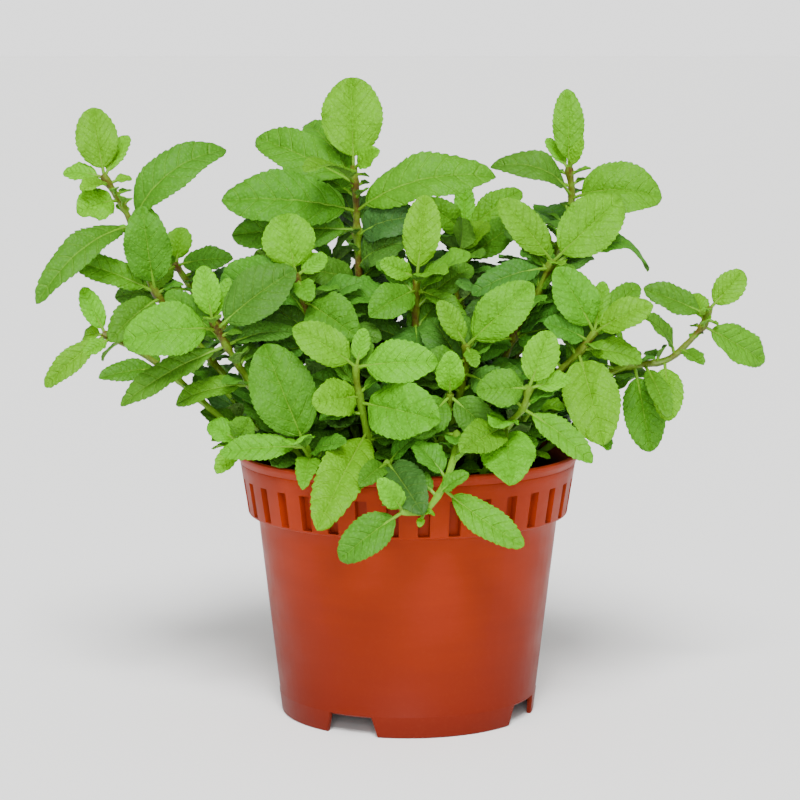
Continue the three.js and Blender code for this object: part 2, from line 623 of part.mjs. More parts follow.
// The whole plant: every shoot's stem, and its leaves placed one after another clear of the rest.
class Clump {
  constructor() {
    this.random = seeded(GROWN_SEED);
    this.blades = [];
    this.stems = [
      ...SHOOTS.map(({ name, stem }) => [name, stem.map((point) => vec(...point))]),
      ...GROWN.map((plan) => [plan.name, grownStem(plan)]),
    ];
    const stemOf = new Map(this.stems);
    for (const { name, leaves } of SHOOTS) {
      for (const plan of leaves) this.blades.push(this.settle(name, stemOf.get(name), plan));
    }
    for (const plan of GROWN) this.growPairs(plan, stemOf.get(plan.name));
    for (const { name } of SHOOTS) this.fill(name, stemOf.get(name));
  }

  // How many things a blade meets: other blades, other shoots' stems, the pot and the soil.
  meetings(blade) {
    const blades = this.blades.filter((other) => bladesMeet(blade, other)).length;
    const foreign = this.stems.filter(([owner]) => owner !== blade.owner);
    const stems = foreign.filter(([, stem]) => stemMeets(stem, blade)).length;
    return blades + stems + (meetsPot(blade) ? 1 : 0);
  }

  // A front leaf gives way to the back or the front, so its outline stays where it is seen.
  settle(owner, stem, { place, tip, width, tilt, arch }) {
    const base = along(stem, place);
    let best = null;
    for (const step of GIVE_WAY) {
      const blade = new Blade(owner, base, vec(tip[0], tip[1] + step, tip[2]), width, faceOf(tilt), arch);
      const count = this.meetings(blade);
      if (!best || count < best.count) best = { blade, count };
      if (count === 0) break;
    }
    return best.blade;
  }

  // A leaf grown at an azimuth and elevation, turned and shortened until it is clear, or left out.
  grow(owner, base, azimuth, elevation, size, facing, farthest) {
    for (let attempt = 0; attempt < GROWN_TRIES; attempt += 1) {
      const turn = radians(azimuth + (this.random() - 0.5) * (16 + 8 * attempt));
      const rise = radians(elevation + (this.random() - 0.5) * (14 + 7 * attempt));
      const width = 0.54 + 0.1 * this.random();
      const span = size * (1 - 0.045 * attempt);
      const run = vec(Math.cos(turn) * Math.cos(rise), Math.sin(turn) * Math.cos(rise), Math.sin(rise));
      const tip = base.clone().addScaledVector(run, span);
      const face = vec(0.45 * Math.cos(facing), 0.45 * Math.sin(facing), 1 - 0.5 * Math.sin(rise));
      const blade = new Blade(owner, base, tip, width * span, face, 0.09 * span);
      const inside = Math.hypot(tip.x, tip.y) <= farthest && tip.y <= BACK_REACH;
      if (inside && this.meetings(blade) === 0) {
        this.blades.push(blade);
        return;
      }
    }
  }

  // Leaves stand in opposite pairs, each pair a quarter turn from the last, and shorten to the top.
  growPairs({ name, azimuth }, stem) {
    const facing = radians(azimuth);
    const top = stem.length - 1;
    const pairs = Math.max(1, Math.round(stem[0].distanceTo(stem[top]) / GROWN_PAIR_SPACING));
    for (let pair = 0; pair < pairs; pair += 1) {
      const share = mix(0.42, 1, pairs === 1 ? 1 : pair / (pairs - 1));
      const quarter = pair % 2 === 0 ? 90 : 0;
      for (const side of [0, 180]) {
        const size = mix(LEAF_LENGTH, 21, share * share);
        const base = along(stem, share * top);
        this.grow(name, base, azimuth + quarter + side, mix(4, 34, share), size, facing, GROWN_REACH);
      }
    }
    this.grow(name, stem[top], azimuth + 60, 62, 19, facing, GROWN_REACH);
    this.grow(name, stem[top], azimuth + 240, 66, 17, facing, GROWN_REACH);
  }

  // Older leaves low on a front shoot, wherever there is room, as the shaded middle of a clump has.
  fill(name, stem) {
    const facing = -Math.PI / 2;
    let azimuth = -90;
    for (let place = 0.8; place < stem.length - 1.2; place += FILL_SPACING) {
      for (let leaves = 0; leaves < 2; leaves += 1) {
        this.grow(name, along(stem, place), azimuth, 16, FILL_LENGTH, facing, FILL_REACH);
        azimuth += GOLDEN_ANGLE;
      }
    }
  }

  // Each shoot with its stem and the blades that it carries.
  shoots() {
    return this.stems.map(([name, stem]) => (
      { name, stem, blades: this.blades.filter((blade) => blade.owner === name) }
    ));
  }
}

// ---------------------------------------------------------------- shoot solids

// A square stem with mitred corners, from its root in the soil to its thinner top.
function stemSolid(stem) {
  const [neck, top] = stem.slice(-2);
  const end = top.clone().add(top.clone().sub(neck).setLength(STEM_PAST_TOP));
  const points = [stem[0].clone().setZ(STEM_FOOT_Z), ...stem, end];
  let across = vec(1, 0, 0);
  const rings = points.map((point, index) => {
    const from = Math.min(index, points.length - 2);
    const ahead = points[from + 1].clone().sub(points[from]);
    const behind = index === 0 ? ahead : point.clone().sub(points[index - 1]);
    const heading = ahead.normalize().add(behind.normalize()).normalize();
    across = across.clone().addScaledVector(heading, -across.dot(heading)).normalize();
    const up = across.clone().cross(heading);
    const radius = mix(STEM_ROOT_RADIUS, STEM_TOP_RADIUS, clamp((index - 1) / (points.length - 3), 0, 1));
    return diamond(point, across, up, radius, radius);
  });
  return bar(rings);
}

// How finely a blade of a given length is cut.
function bladeDetail(length) {
  if (length > 36) return { teeth: 4, ribPoints: 4 };
  if (length > 20) return { teeth: 3, ribPoints: 3 };
  return { teeth: 2, ribPoints: 3 };
}

// Shares of the blade and widths of one toothed edge, from the stalk to the last tooth.
function toothedEdge(teeth) {
  const edge = [];
  for (let tooth = 0; tooth < teeth; tooth += 1) {
    edge.push([(tooth + 0.75) / (teeth + 0.4), TOOTH_OUT]);
    if (tooth < teeth - 1) edge.push([(tooth + 1) / (teeth + 0.4), TOOTH_IN]);
  }
  return edge;
}

// One leaf: a tapered stalk rooted in the stem, and a thin blade, thickest along its rib and sharp
// at its toothed edge. Both faces are split into triangles alike.
function leafSolid(blade) {
  const { teeth, ribPoints } = bladeDetail(blade.length);
  const positions = [];
  const put = (point) => positions.push(...point.toArray()) / 3 - 1;
  const shareOf = (part) => blade.stalk + (1 - blade.stalk) * part;

  const root = put(blade.surface(STALK_START / blade.length, 0));
  const neck = diamond(
    blade.surface(blade.stalk, 0), blade.across, blade.up, STALK_HALF_WIDTH, STALK_HALF_HEIGHT,
  ).map(put);
  const tip = put(blade.surface(1, 0));
  const edgeChain = (side, start) => [
    { index: start, part: 0 },
    ...toothedEdge(teeth).map(([part, scale]) => ({
      index: put(blade.surface(shareOf(part), side * scale * blade.halfWidth(shareOf(part)))), part,
    })),
    { index: tip, part: 1 },
  ];
  const ribChain = (side, start) => {
    const chain = [{ index: start, part: 0 }];
    for (let point = 1; point < ribPoints - 1; point += 1) {
      const part = point / (ribPoints - 1);
      const lift = side * RIB_HALF_THICKNESS * (1 - 0.35 * part);
      chain.push({ index: put(blade.surface(shareOf(part), 0, lift)), part });
    }
    return [...chain, { index: tip, part: 1 }];
  };
  const [right, left] = [edgeChain(1, neck[0]), edgeChain(-1, neck[2])];
  const [top, bottom] = [ribChain(1, neck[1]), ribChain(-1, neck[3])];

  const triangles = neck.flatMap((corner, index) => [root, corner, neck[(index + 1) % 4]]);
  for (const [edge, rib, turned] of [
    [right, top, false], [left, top, true], [left, bottom, false], [right, bottom, true],
  ]) {
    for (const [a, b, c] of strip(edge, rib)) triangles.push(...(turned ? [a, c, b] : [a, b, c]));
  }
  return closedSolid(positions, triangles);
}

// Triangles between an edge and a rib that end in one shared tip. The line that lags moves on.
function strip(edge, rib) {
  const triangles = [];
  let e = 0;
  let r = 0;
  while (e < edge.length - 2 || r < rib.length - 2) {
    const moveEdge = r === rib.length - 2 || (e < edge.length - 2 && edge[e + 1].part <= rib[r + 1].part);
    if (moveEdge) {
      triangles.push([edge[e].index, edge[e + 1].index, rib[r].index]);
      e += 1;
    } else {
      triangles.push([edge[e].index, rib[r + 1].index, rib[r].index]);
      r += 1;
    }
  }
  triangles.push([edge[e].index, edge[e + 1].index, rib[r].index]);
  return triangles;
}

// A stem and its leaves fused into one body, with any hollow that the fusing seals filled.
function shootSolid({ name, stem, blades }) {
  const shells = wasm.Manifold.union([stemSolid(stem), ...blades.map(leafSolid)]).decompose();
  const bodies = shells.filter((shell) => shell.volume() > 0);
  if (bodies.length !== 1) throw new Error(`${name} falls into ${bodies.length} bodies`);
  return bodies[0];
}

// ---------------------------------------------------------------- finishes and the group

const POT_COLOUR = 0xb5462a;
const SOIL_COLOUR = 0x1b1410;
const YOUNG_LEAF = new THREE.Color(0x86c232);
const SHADED_LEAF = new THREE.Color(0x3f7d2b);

function addMesh(group, name, solid, color, roughness) {
  const material = new THREE.MeshStandardMaterial({ color, roughness, metalness: 0 });
  const mesh = new THREE.Mesh(geometryOf(solid), material);
  mesh.name = name;
  group.add(mesh);
}

const group = new THREE.Group();
const shoots = new Clump().shoots();

addMesh(group, 'pot', makePot(), POT_COLOUR, 0.42);
addMesh(group, 'soil', makeSoil(shoots.map(({ stem }) => stem)), SOIL_COLOUR, 0.95);
for (const leafy of shoots) {
  const top = leafy.stem[leafy.stem.length - 1];
  const light = clamp((top.z - 110) / 110 - top.y / 200, 0, 1);
  const color = SHADED_LEAF.clone().lerp(YOUNG_LEAF, light);
  addMesh(group, `shoot_${leafy.name}`, shootSolid(leafy), color, 0.6);
}

export default group;
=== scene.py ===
import itertools
import logging
import math
from dataclasses import dataclass, field
from enum import Enum

import bpy
import numpy as np
from bpy.types import Material, NodeSocket, NodeTree, Object
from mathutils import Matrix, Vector, noise


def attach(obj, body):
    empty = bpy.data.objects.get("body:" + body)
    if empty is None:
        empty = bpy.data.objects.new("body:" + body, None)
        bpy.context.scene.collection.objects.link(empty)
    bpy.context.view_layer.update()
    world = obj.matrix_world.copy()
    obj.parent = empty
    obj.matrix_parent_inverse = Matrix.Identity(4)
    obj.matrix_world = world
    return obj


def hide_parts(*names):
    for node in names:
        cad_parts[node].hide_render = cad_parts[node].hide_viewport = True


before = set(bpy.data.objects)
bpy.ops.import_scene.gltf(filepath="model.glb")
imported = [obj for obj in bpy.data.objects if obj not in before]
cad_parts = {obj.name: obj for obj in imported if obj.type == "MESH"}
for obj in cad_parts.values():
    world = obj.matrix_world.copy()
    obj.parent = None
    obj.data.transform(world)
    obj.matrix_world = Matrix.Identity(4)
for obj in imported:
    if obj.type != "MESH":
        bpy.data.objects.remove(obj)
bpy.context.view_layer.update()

logging.basicConfig(level=logging.INFO, format="%(message)s")
log = logging.getLogger("potted_mint")

# Sizes are written in millimetres, as on a drawing, and the meshes are built in metres.
MM = 0.001

# A place or another three values, and a range or another two.
Point = tuple[float, float, float]
Range = tuple[float, float]


def srgb(hex_colour: str) -> tuple[float, float, float, float]:
    """Turns an sRGB colour into the linear one that the shaders use.

    Args:
        hex_colour: Six hex digits, such as "8ec13d".

    Returns:
        Red, green, blue and alpha.
    """
    channels = [int(hex_colour[i : i + 2], 16) / 255 for i in (0, 2, 4)]
    linear = [c / 12.92 if c <= 0.04045 else ((c + 0.055) / 1.055) ** 2.4 for c in channels]
    return (*linear, 1.0)


# Sockets without a name of their own go by number. A map range takes its value as 0, the range that it
# reads as 1 and 2 and the range that it gives as 3 and 4. A mix of colours takes its share as 0 and the
# colours as 6 and 7, and gives 2. A mathematical node counts its values from 0.
def add_node(
    tree: NodeTree, kind: str, inputs: dict, output: int | str | None = 0, **settings: object
) -> NodeSocket | None:
    """Adds a shader node with its settings, values and links.

    Args:
        tree: The node tree that gets the node.
        kind: The node's type name, without ShaderNode in front.
        inputs: Socket names or numbers, each with a value or with the output that is linked to it.
        output: The output that is wanted, or None for a node that has none.
        settings: The node's own properties.

    Returns:
        The wanted output.
    """
    node = tree.nodes.new(f"ShaderNode{kind}")
    for name, value in settings.items():
        setattr(node, name, value)
    for name, value in inputs.items():
        if isinstance(value, NodeSocket):
            tree.links.new(value, node.inputs[name])
        else:
            node.inputs[name].default_value = value
    return None if output is None else node.outputs[output]


def new_material(name: str) -> tuple[Material, NodeTree]:
    """Makes an empty node material.

    Args:
        name: The material's name.

    Returns:
        The material and its tree, with nothing in it.
    """
    material = bpy.data.materials.new(name)
    material.use_nodes = True
    material.node_tree.nodes.clear()
    return material, material.node_tree


# ---------------- finishes


class Side(Enum):
    """The two faces of a leaf, which differ in colour and gloss."""

    UPPER = "upper"
    LOWER = "lower"


@dataclass(frozen=True)
class VeinPattern:
    """The side veins of a mint leaf, which its relief and its drawn lines both follow.

    `pairs` of them leave the midrib. Each runs forward by `lean` of what it goes sideways, and by `bend`
    the more, the nearer it comes to the margin.
    """

    pairs: float = 7.0
    lean: float = 0.65
    bend: float = 1.5


@dataclass(frozen=True)
class MintLeafSkin:
    """Living mint leaf: a thin waxy skin over quilted green tissue that lets some light through."""

    side: Side
    # The colours are those of the leaf tissue, from the newest leaves to the oldest. The oldest also serves
    # as painted shade on leaves far back or deep in the clump.
    young: str = "61ab02"
    mature: str = "458118"
    old_and_shaded: str = "33592a"
    vein: str = "8fbd38"
    underside: str = "7d9f56"
    through: str = "58a01e"
    # Leaf cuticle is a soft wax: IOR about 1.45, and satin rather than shiny. Pairs are for the upper
    # face and for the lower one, and veins are pressed into the first and stand out of the second.
    ior: float = 1.45
    roughness: Range = (0.5, 0.65)
    gloss: Range = (0.14, 0.1)
    vein_relief: Range = (-1.3, 1.0)
    # A fifth of the light goes through the blade and takes on the colour that lit tissue has.
    glow: float = 0.2
    through_share: float = 0.5
    underside_share: float = 0.35
    # A side vein's line fades over a range that is measured in shares of the space between two of them,
    # and the midrib's over one in shares of the blade's length.
    pattern: VeinPattern = VeinPattern()
    side_vein_edge: Range = (0.01, 0.1)
    side_vein_share: float = 0.1
    midrib_edge: Range = (0.002, 0.01)
    midrib_share: float = 0.42
    # Sizes in mm: the blisters between the smallest veins, the finest grain and the slow blotches.
    blister: float = 1.4
    blister_height: float = 0.3
    grain: float = 0.7
    grain_share: float = 0.3
    blotch: float = 9.0
    # How much a leaf's own chance counts beside its blotches, how dark and light the two make it, how
    # dark the painted shade in the blisters' furrows and how light the painted light on their tops are, and
    # how far chance moves the hue.
    chance_share: float = 0.6
    value_range: Range = (0.76, 1.12)
    furrow_shade_range: Range = (0.89, 1.04)
    hue_range: Range = (0.492, 0.507)

    def material(self) -> Material:
        """Returns the skin's material, which reads where each point lies on its own leaf."""
        material, tree = new_material(f"mint_leaf_skin_{self.side.value}")
        face = list(Side).index(self.side)
        place = add_node(tree, "TexCoord", {}, "Object")
        midrib, laterals = self.veins(tree)
        domes = self.blisters(tree, place)
        colour = self.tissue(tree, place, domes)
        if self.side is Side.LOWER:
            # The underside is paler and greyer, with its veins standing out.
            colour = add_node(
                tree, "Mix", {0: self.underside_share, 6: colour, 7: srgb(self.underside)}, 2,
                data_type="RGBA",
            )
        side_veins = add_node(tree, "Math", {0: laterals, 1: self.side_vein_share}, operation="MULTIPLY")
        drawn = add_node(tree, "Math", {0: side_veins, 1: midrib}, operation="MAXIMUM")
        colour = add_node(tree, "Mix", {0: drawn, 6: colour, 7: srgb(self.vein)}, 2, data_type="RGBA")

        sunk = add_node(tree, "Math", {0: midrib, 1: laterals}, operation="MAXIMUM")
        relief = add_node(
            tree, "Math", {0: sunk, 1: self.vein_relief[face], 2: domes}, operation="MULTIPLY_ADD"
        )
        fine = add_node(tree, "TexNoise", {"Vector": place, "Scale": 1 / (self.grain * MM), "Detail": 2.0})
        relief = add_node(tree, "Math", {0: fine, 1: self.grain_share, 2: relief}, operation="MULTIPLY_ADD")
        bump = add_node(
            tree, "Bump", {"Strength": 0.8, "Distance": self.blister_height * MM, "Height": relief}
        )
        skin = add_node(
            tree, "BsdfPrincipled",
            {"Base Color": colour, "Roughness": self.roughness[face], "IOR": self.ior,
             "Specular IOR Level": self.gloss[face], "Normal": bump},
        )
        lit = add_node(
            tree, "Mix", {0: self.through_share, 6: colour, 7: srgb(self.through)}, 2, data_type="RGBA"
        )
        inside = add_node(tree, "BsdfTranslucent", {"Color": lit, "Normal": bump})
        mixed = add_node(tree, "MixShader", {0: self.glow, 1: skin, 2: inside})
        add_node(tree, "OutputMaterial", {"Surface": mixed}, None)
        return material

    def tissue(self, tree: NodeTree, place: NodeSocket, domes: NodeSocket) -> NodeSocket:
        """Colours the tissue between the veins by the leaf's age with its painted shade, its own chance and
        slow blotches.

        Args:
            tree: The node tree.
            place: The surface's own place.
            domes: The height of the blisters.

        Returns:
            The colour's output.
        """
        growth = add_node(tree, "UVMap", {}, uv_map="growth")
        # The first growth number is the leaf's age with painted shade added, so shaded leaves take the
        # darker old colour.
        age = add_node(tree, "SeparateXYZ", {0: growth}, 0)
        chance = add_node(tree, "SeparateXYZ", {0: growth}, 1)
        grown = add_node(tree, "MapRange", {0: age, 1: 0.0, 2: 0.5}, interpolation_type="SMOOTHSTEP")
        aged = add_node(tree, "MapRange", {0: age, 1: 0.5, 2: 1.0}, interpolation_type="SMOOTHSTEP")
        green = add_node(
            tree, "Mix", {0: grown, 6: srgb(self.young), 7: srgb(self.mature)}, 2, data_type="RGBA"
        )
        green = add_node(tree, "Mix", {0: aged, 6: green, 7: srgb(self.old_and_shaded)}, 2, data_type="RGBA")
        blotches = add_node(
            tree, "TexNoise",
            {"Vector": place, "Scale": 1 / (self.blotch * MM), "Detail": 3.0, "Roughness": 0.6},
        )
        shade = add_node(
            tree, "Math", {0: chance, 1: self.chance_share, 2: blotches}, operation="MULTIPLY_ADD"
        )
        darkest, lightest = self.value_range
        value = add_node(tree, "MapRange", {0: shade, 1: 0.3, 2: 1.3, 3: darkest, 4: lightest})
        # Painted shade darkens the furrows between the blisters, and painted light brightens their tops.
        low, high = self.furrow_shade_range
        furrow_shade = add_node(tree, "MapRange", {0: domes, 1: 0.0, 2: 0.5, 3: low, 4: high})
        value = add_node(tree, "Math", {0: value, 1: furrow_shade}, operation="MULTIPLY")
        hue = add_node(tree, "MapRange", {0: chance, 3: self.hue_range[0], 4: self.hue_range[1]})
        return add_node(tree, "HueSaturation", {"Color": green, "Hue": hue, "Value": value})

    def blisters(self, tree: NodeTree, place: NodeSocket) -> NodeSocket:
        """Raises the tissue between the smallest veins into low domes.

        Args:
            tree: The node tree.
            place: The surface's own place.

        Returns:
            An output that is 1 on top of a dome and 0 in a furrow.
        """
        cells = add_node(
            tree, "TexVoronoi", {"Vector": place, "Scale": 1 / (self.blister * MM), "Randomness": 1.0}
        )
        return add_node(
            tree, "MapRange", {0: cells, 1: 0.0, 2: 0.75, 3: 1.0, 4: 0.0}, interpolation_type="SMOOTHSTEP"
        )

    def veins(self, tree: NodeTree) -> tuple[NodeSocket, NodeSocket]:
        """Draws the midrib, which fades towards the tip, and the side veins.

        Args:
            tree: The node tree.

        Returns:
            Outputs for the midrib and for the side veins, up to 1 on a vein and 0 between them.
        """
        blade = add_node(tree, "UVMap", {}, uv_map="blade")
        ahead = add_node(tree, "SeparateXYZ", {0: blade}, 0)
        sideways = add_node(tree, "SeparateXYZ", {0: blade}, 1)
        signed = add_node(tree, "Math", {0: sideways, 1: 0.5}, operation="SUBTRACT")
        off = add_node(tree, "Math", {0: signed}, operation="ABSOLUTE")
        slope = add_node(
            tree, "Math", {0: off, 1: self.pattern.bend, 2: self.pattern.lean}, operation="MULTIPLY_ADD"
        )
        back = add_node(tree, "Math", {0: off, 1: slope}, operation="MULTIPLY")
        forward = add_node(tree, "Math", {0: ahead, 1: back}, operation="SUBTRACT")
        count = add_node(tree, "Math", {0: forward, 1: self.pattern.pairs}, operation="MULTIPLY")
        near = add_node(tree, "Math", {0: count, 1: 0.5}, operation="PINGPONG")
        inner, outer = self.side_vein_edge
        line = add_node(
            tree, "MapRange", {0: near, 1: inner, 2: outer, 3: 1.0, 4: 0.0}, interpolation_type="SMOOTHSTEP"
        )
        fade = add_node(tree, "MapRange", {0: off, 1: 0.03, 2: 0.26, 3: 1.0, 4: 0.3})
        laterals = add_node(tree, "Math", {0: line, 1: fade}, operation="MULTIPLY")
        inner, outer = self.midrib_edge
        rib = add_node(
            tree, "MapRange", {0: off, 1: inner, 2: outer, 3: self.midrib_share, 4: 0.0},
            interpolation_type="SMOOTHSTEP",
        )
        length = add_node(tree, "MapRange", {0: ahead, 1: 0.2, 2: 0.9, 3: 1.0, 4: 0.2})
        midrib = add_node(tree, "Math", {0: rib, 1: length}, operation="MULTIPLY")
        return midrib, laterals


@dataclass(frozen=True)
class MintStemSkin:
    """Living mint stem: smooth, faintly waxy, green at its foot and flushed brown above."""

    green: str = "5c8f18"
    flush: str = "473610"
    pale: str = "7ca834"
    ior: float = 1.45
    roughness: float = 0.45
    gloss: float = 0.2
    # Sizes in mm: the flush's patches, and the pale flecks, which also roughen the skin.
    patch: float = 7.0
    fleck: float = 1.2
    fleck_share: float = 0.25
    fleck_height: float = 0.1

    def material(self) -> Material:
        """Returns the stem's material, which reads how far up its stem each point is."""
        material, tree = new_material("mint_stem_skin")
        place = add_node(tree, "TexCoord", {}, "Object")
        growth = add_node(tree, "UVMap", {}, uv_map="growth")
        flushed = add_node(tree, "SeparateXYZ", {0: growth}, 0)
        cloud = add_node(tree, "TexNoise", {"Vector": place, "Scale": 1 / (self.patch * MM), "Detail": 3.0})
        patch = add_node(tree, "MapRange", {0: cloud, 1: 0.35, 2: 0.62, 3: 0.35, 4: 1.0})
        blush = add_node(tree, "Math", {0: flushed, 1: patch}, operation="MULTIPLY")
        colour = add_node(
            tree, "Mix", {0: blush, 6: srgb(self.green), 7: srgb(self.flush)}, 2, data_type="RGBA"
        )
        flecks = add_node(
            tree, "TexNoise", {"Vector": place, "Scale": 1 / (self.fleck * MM), "Detail": 2.0}
        )
        few = add_node(tree, "MapRange", {0: flecks, 1: 0.5, 2: 0.75, 3: 0.0, 4: self.fleck_share})
        colour = add_node(tree, "Mix", {0: few, 6: colour, 7: srgb(self.pale)}, 2, data_type="RGBA")
        bump = add_node(
            tree, "Bump", {"Strength": 0.4, "Distance": self.fleck_height * MM, "Height": flecks}
        )
        skin = add_node(
            tree, "BsdfPrincipled",
            {"Base Color": colour, "Roughness": self.roughness, "IOR": self.ior,
             "Specular IOR Level": self.gloss, "Normal": bump},
        )
        add_node(tree, "OutputMaterial", {"Surface": skin}, None)
        return material


@dataclass(frozen=True)
class MouldedPolypropylene:
    """Injection-moulded polypropylene: terracotta-coloured through, satin, with faint flow marks."""

    body: str = "87280a"
    # The deep colour tints the flow marks, and is also the painted shade of the lower wall and the slots.
    deep_and_shade: str = "541409"
    dust: str = "964a2c"
    peat: str = "1c130e"
    # Polypropylene has an IOR of 1.49, and a lightly textured mould leaves it satin, with a roughness
    # between these two.
    ior: float = 1.49
    roughness: Range = (0.36, 0.48)
    gloss: float = 0.08
    # Sizes in mm: the flow marks, which are squeezed in height, the satin's clouds, the dust and the
    # mould's fine texture.
    flow: float = 60.0
    flow_squeeze: float = 8.0
    flow_share: float = 0.2
    cloud: float = 12.0
    speck: float = 1.6
    grain: float = 0.5
    grain_height: float = 0.05
    # Heights in mm: up to where painted shade darkens the lower wall, and where the dust grows towards the
    # lip.
    shaded_top: float = 84.0
    shaded_share: float = 0.9
    dusty_heights: Range = (100.0, 108.0)
    dusty_shares: Range = (0.04, 0.25)
    # The collar's outside radius is this at the floor, and grows by the slope with height. Depths in mm
    # say how far inside it the painted shade of the slots' floors and the darkening of the inner wall begin
    # and are at their darkest.
    collar_start: float = 52.3
    collar_slope: float = 0.156
    collar_foot: float = 83.0
    slot_depths: Range = (0.8, 2.2)
    slot_share: float = 0.32
    wall_depths: Range = (2.8, 3.9)
    inner_wall_share: float = 0.9

    def material(self) -> Material:
        """Returns the pot's material."""
        material, tree = new_material("moulded_polypropylene")
        place = add_node(tree, "TexCoord", {}, "Object")
        height = add_node(tree, "SeparateXYZ", {0: place}, 2)
        # Flow marks run round the pot, so their pattern is squeezed in height.
        squeezed = add_node(tree, "Mapping", {0: place, "Scale": (1.0, 1.0, self.flow_squeeze)})
        flow = add_node(
            tree, "TexNoise",
            {"Vector": squeezed, "Scale": 1 / (self.flow * MM), "Detail": 4.0, "Roughness": 0.55},
        )
        marks = add_node(tree, "MapRange", {0: flow, 1: 0.35, 2: 0.75, 3: 0.0, 4: self.flow_share})
        colour = add_node(
            tree, "Mix", {0: marks, 6: srgb(self.body), 7: srgb(self.deep_and_shade)}, 2, data_type="RGBA"
        )
        # Painted shade makes the lower wall a little darker towards the floor, and fine dust settles on the
        # lip.
        low = add_node(
            tree, "MapRange", {0: height, 1: 0.0, 2: self.shaded_top * MM, 3: self.shaded_share, 4: 0.0}
        )
        colour = add_node(tree, "Mix", {0: low, 6: colour, 7: srgb(self.deep_and_shade)}, 2, data_type="RGBA")
        specks = add_node(
            tree, "TexNoise",
            {"Vector": place, "Scale": 1 / (self.speck * MM), "Detail": 4.0, "Roughness": 0.7},
        )
        (start, end), (least, most) = self.dusty_heights, self.dusty_shares
        lip = add_node(tree, "MapRange", {0: height, 1: start * MM, 2: end * MM, 3: least, 4: most})
        spotty = add_node(tree, "MapRange", {0: specks, 1: 0.52, 2: 0.72})
        dusty = add_node(tree, "Math", {0: spotty, 1: lip}, operation="MULTIPLY")
        colour = add_node(tree, "Mix", {0: dusty, 6: colour, 7: srgb(self.dust)}, 2, data_type="RGBA")
        colour = self.shade_slots_and_darken_inside(tree, place, height, colour)
        satin = add_node(tree, "TexNoise", {"Vector": place, "Scale": 1 / (self.cloud * MM), "Detail": 3.0})
        smoothest, roughest = self.roughness
        rough = add_node(tree, "MapRange", {0: satin, 1: 0.3, 2: 0.7, 3: smoothest, 4: roughest})
        grain = add_node(tree, "TexNoise", {"Vector": place, "Scale": 1 / (self.grain * MM), "Detail": 2.0})
        bump = add_node(
            tree, "Bump", {"Strength": 0.12, "Distance": self.grain_height * MM, "Height": grain}
        )
        plastic = add_node(
            tree, "BsdfPrincipled",
            {"Base Color": colour, "Roughness": rough, "IOR": self.ior,
             "Specular IOR Level": self.gloss, "Normal": bump},
        )
        add_node(tree, "OutputMaterial", {"Surface": plastic}, None)
        return material

    def shade_slots_and_darken_inside(
        self, tree: NodeTree, place: NodeSocket, height: NodeSocket, colour: NodeSocket
    ) -> NodeSocket:
        """Paints shade on the floors of the collar's slots, and darkens the wall inside, above the soil,
        towards near black.

        Args:
            tree: The node tree.
            place: The surface's own place.
            height: Its height.
            colour: The clean plastic's colour.

        Returns:
            The colour's output.
        """
        flat = add_node(tree, "VectorMath", {0: place, 1: (1.0, 1.0, 0.0)}, operation="MULTIPLY")
        radius = add_node(tree, "VectorMath", {0: flat}, "Value", operation="LENGTH")
        collar = add_node(
            tree, "Math", {0: height, 1: self.collar_slope, 2: self.collar_start * MM},
            operation="MULTIPLY_ADD",
        )
        inward = add_node(tree, "Math", {0: collar, 1: radius}, operation="SUBTRACT")
        above = add_node(tree, "Math", {0: height, 1: self.collar_foot * MM}, operation="GREATER_THAN")
        # Painted shade on the slots' floors.
        start, end = self.slot_depths
        recess = add_node(
            tree, "MapRange", {0: inward, 1: start * MM, 2: end * MM, 3: 0.0, 4: self.slot_share}
        )
        recess = add_node(tree, "Math", {0: recess, 1: above}, operation="MULTIPLY")
        colour = add_node(tree, "Mix", {0: recess, 6: colour, 7: srgb(self.deep_and_shade)}, 2, data_type="RGBA")
        # The wall's inside above the collar's foot is darkened towards near black.
        start, end = self.wall_depths
        inside = add_node(
            tree, "MapRange", {0: inward, 1: start * MM, 2: end * MM, 3: 0.0, 4: self.inner_wall_share}
        )
        inside = add_node(tree, "Math", {0: inside, 1: above}, operation="MULTIPLY")
        return add_node(tree, "Mix", {0: inside, 6: colour, 7: srgb(self.peat)}, 2, data_type="RGBA")


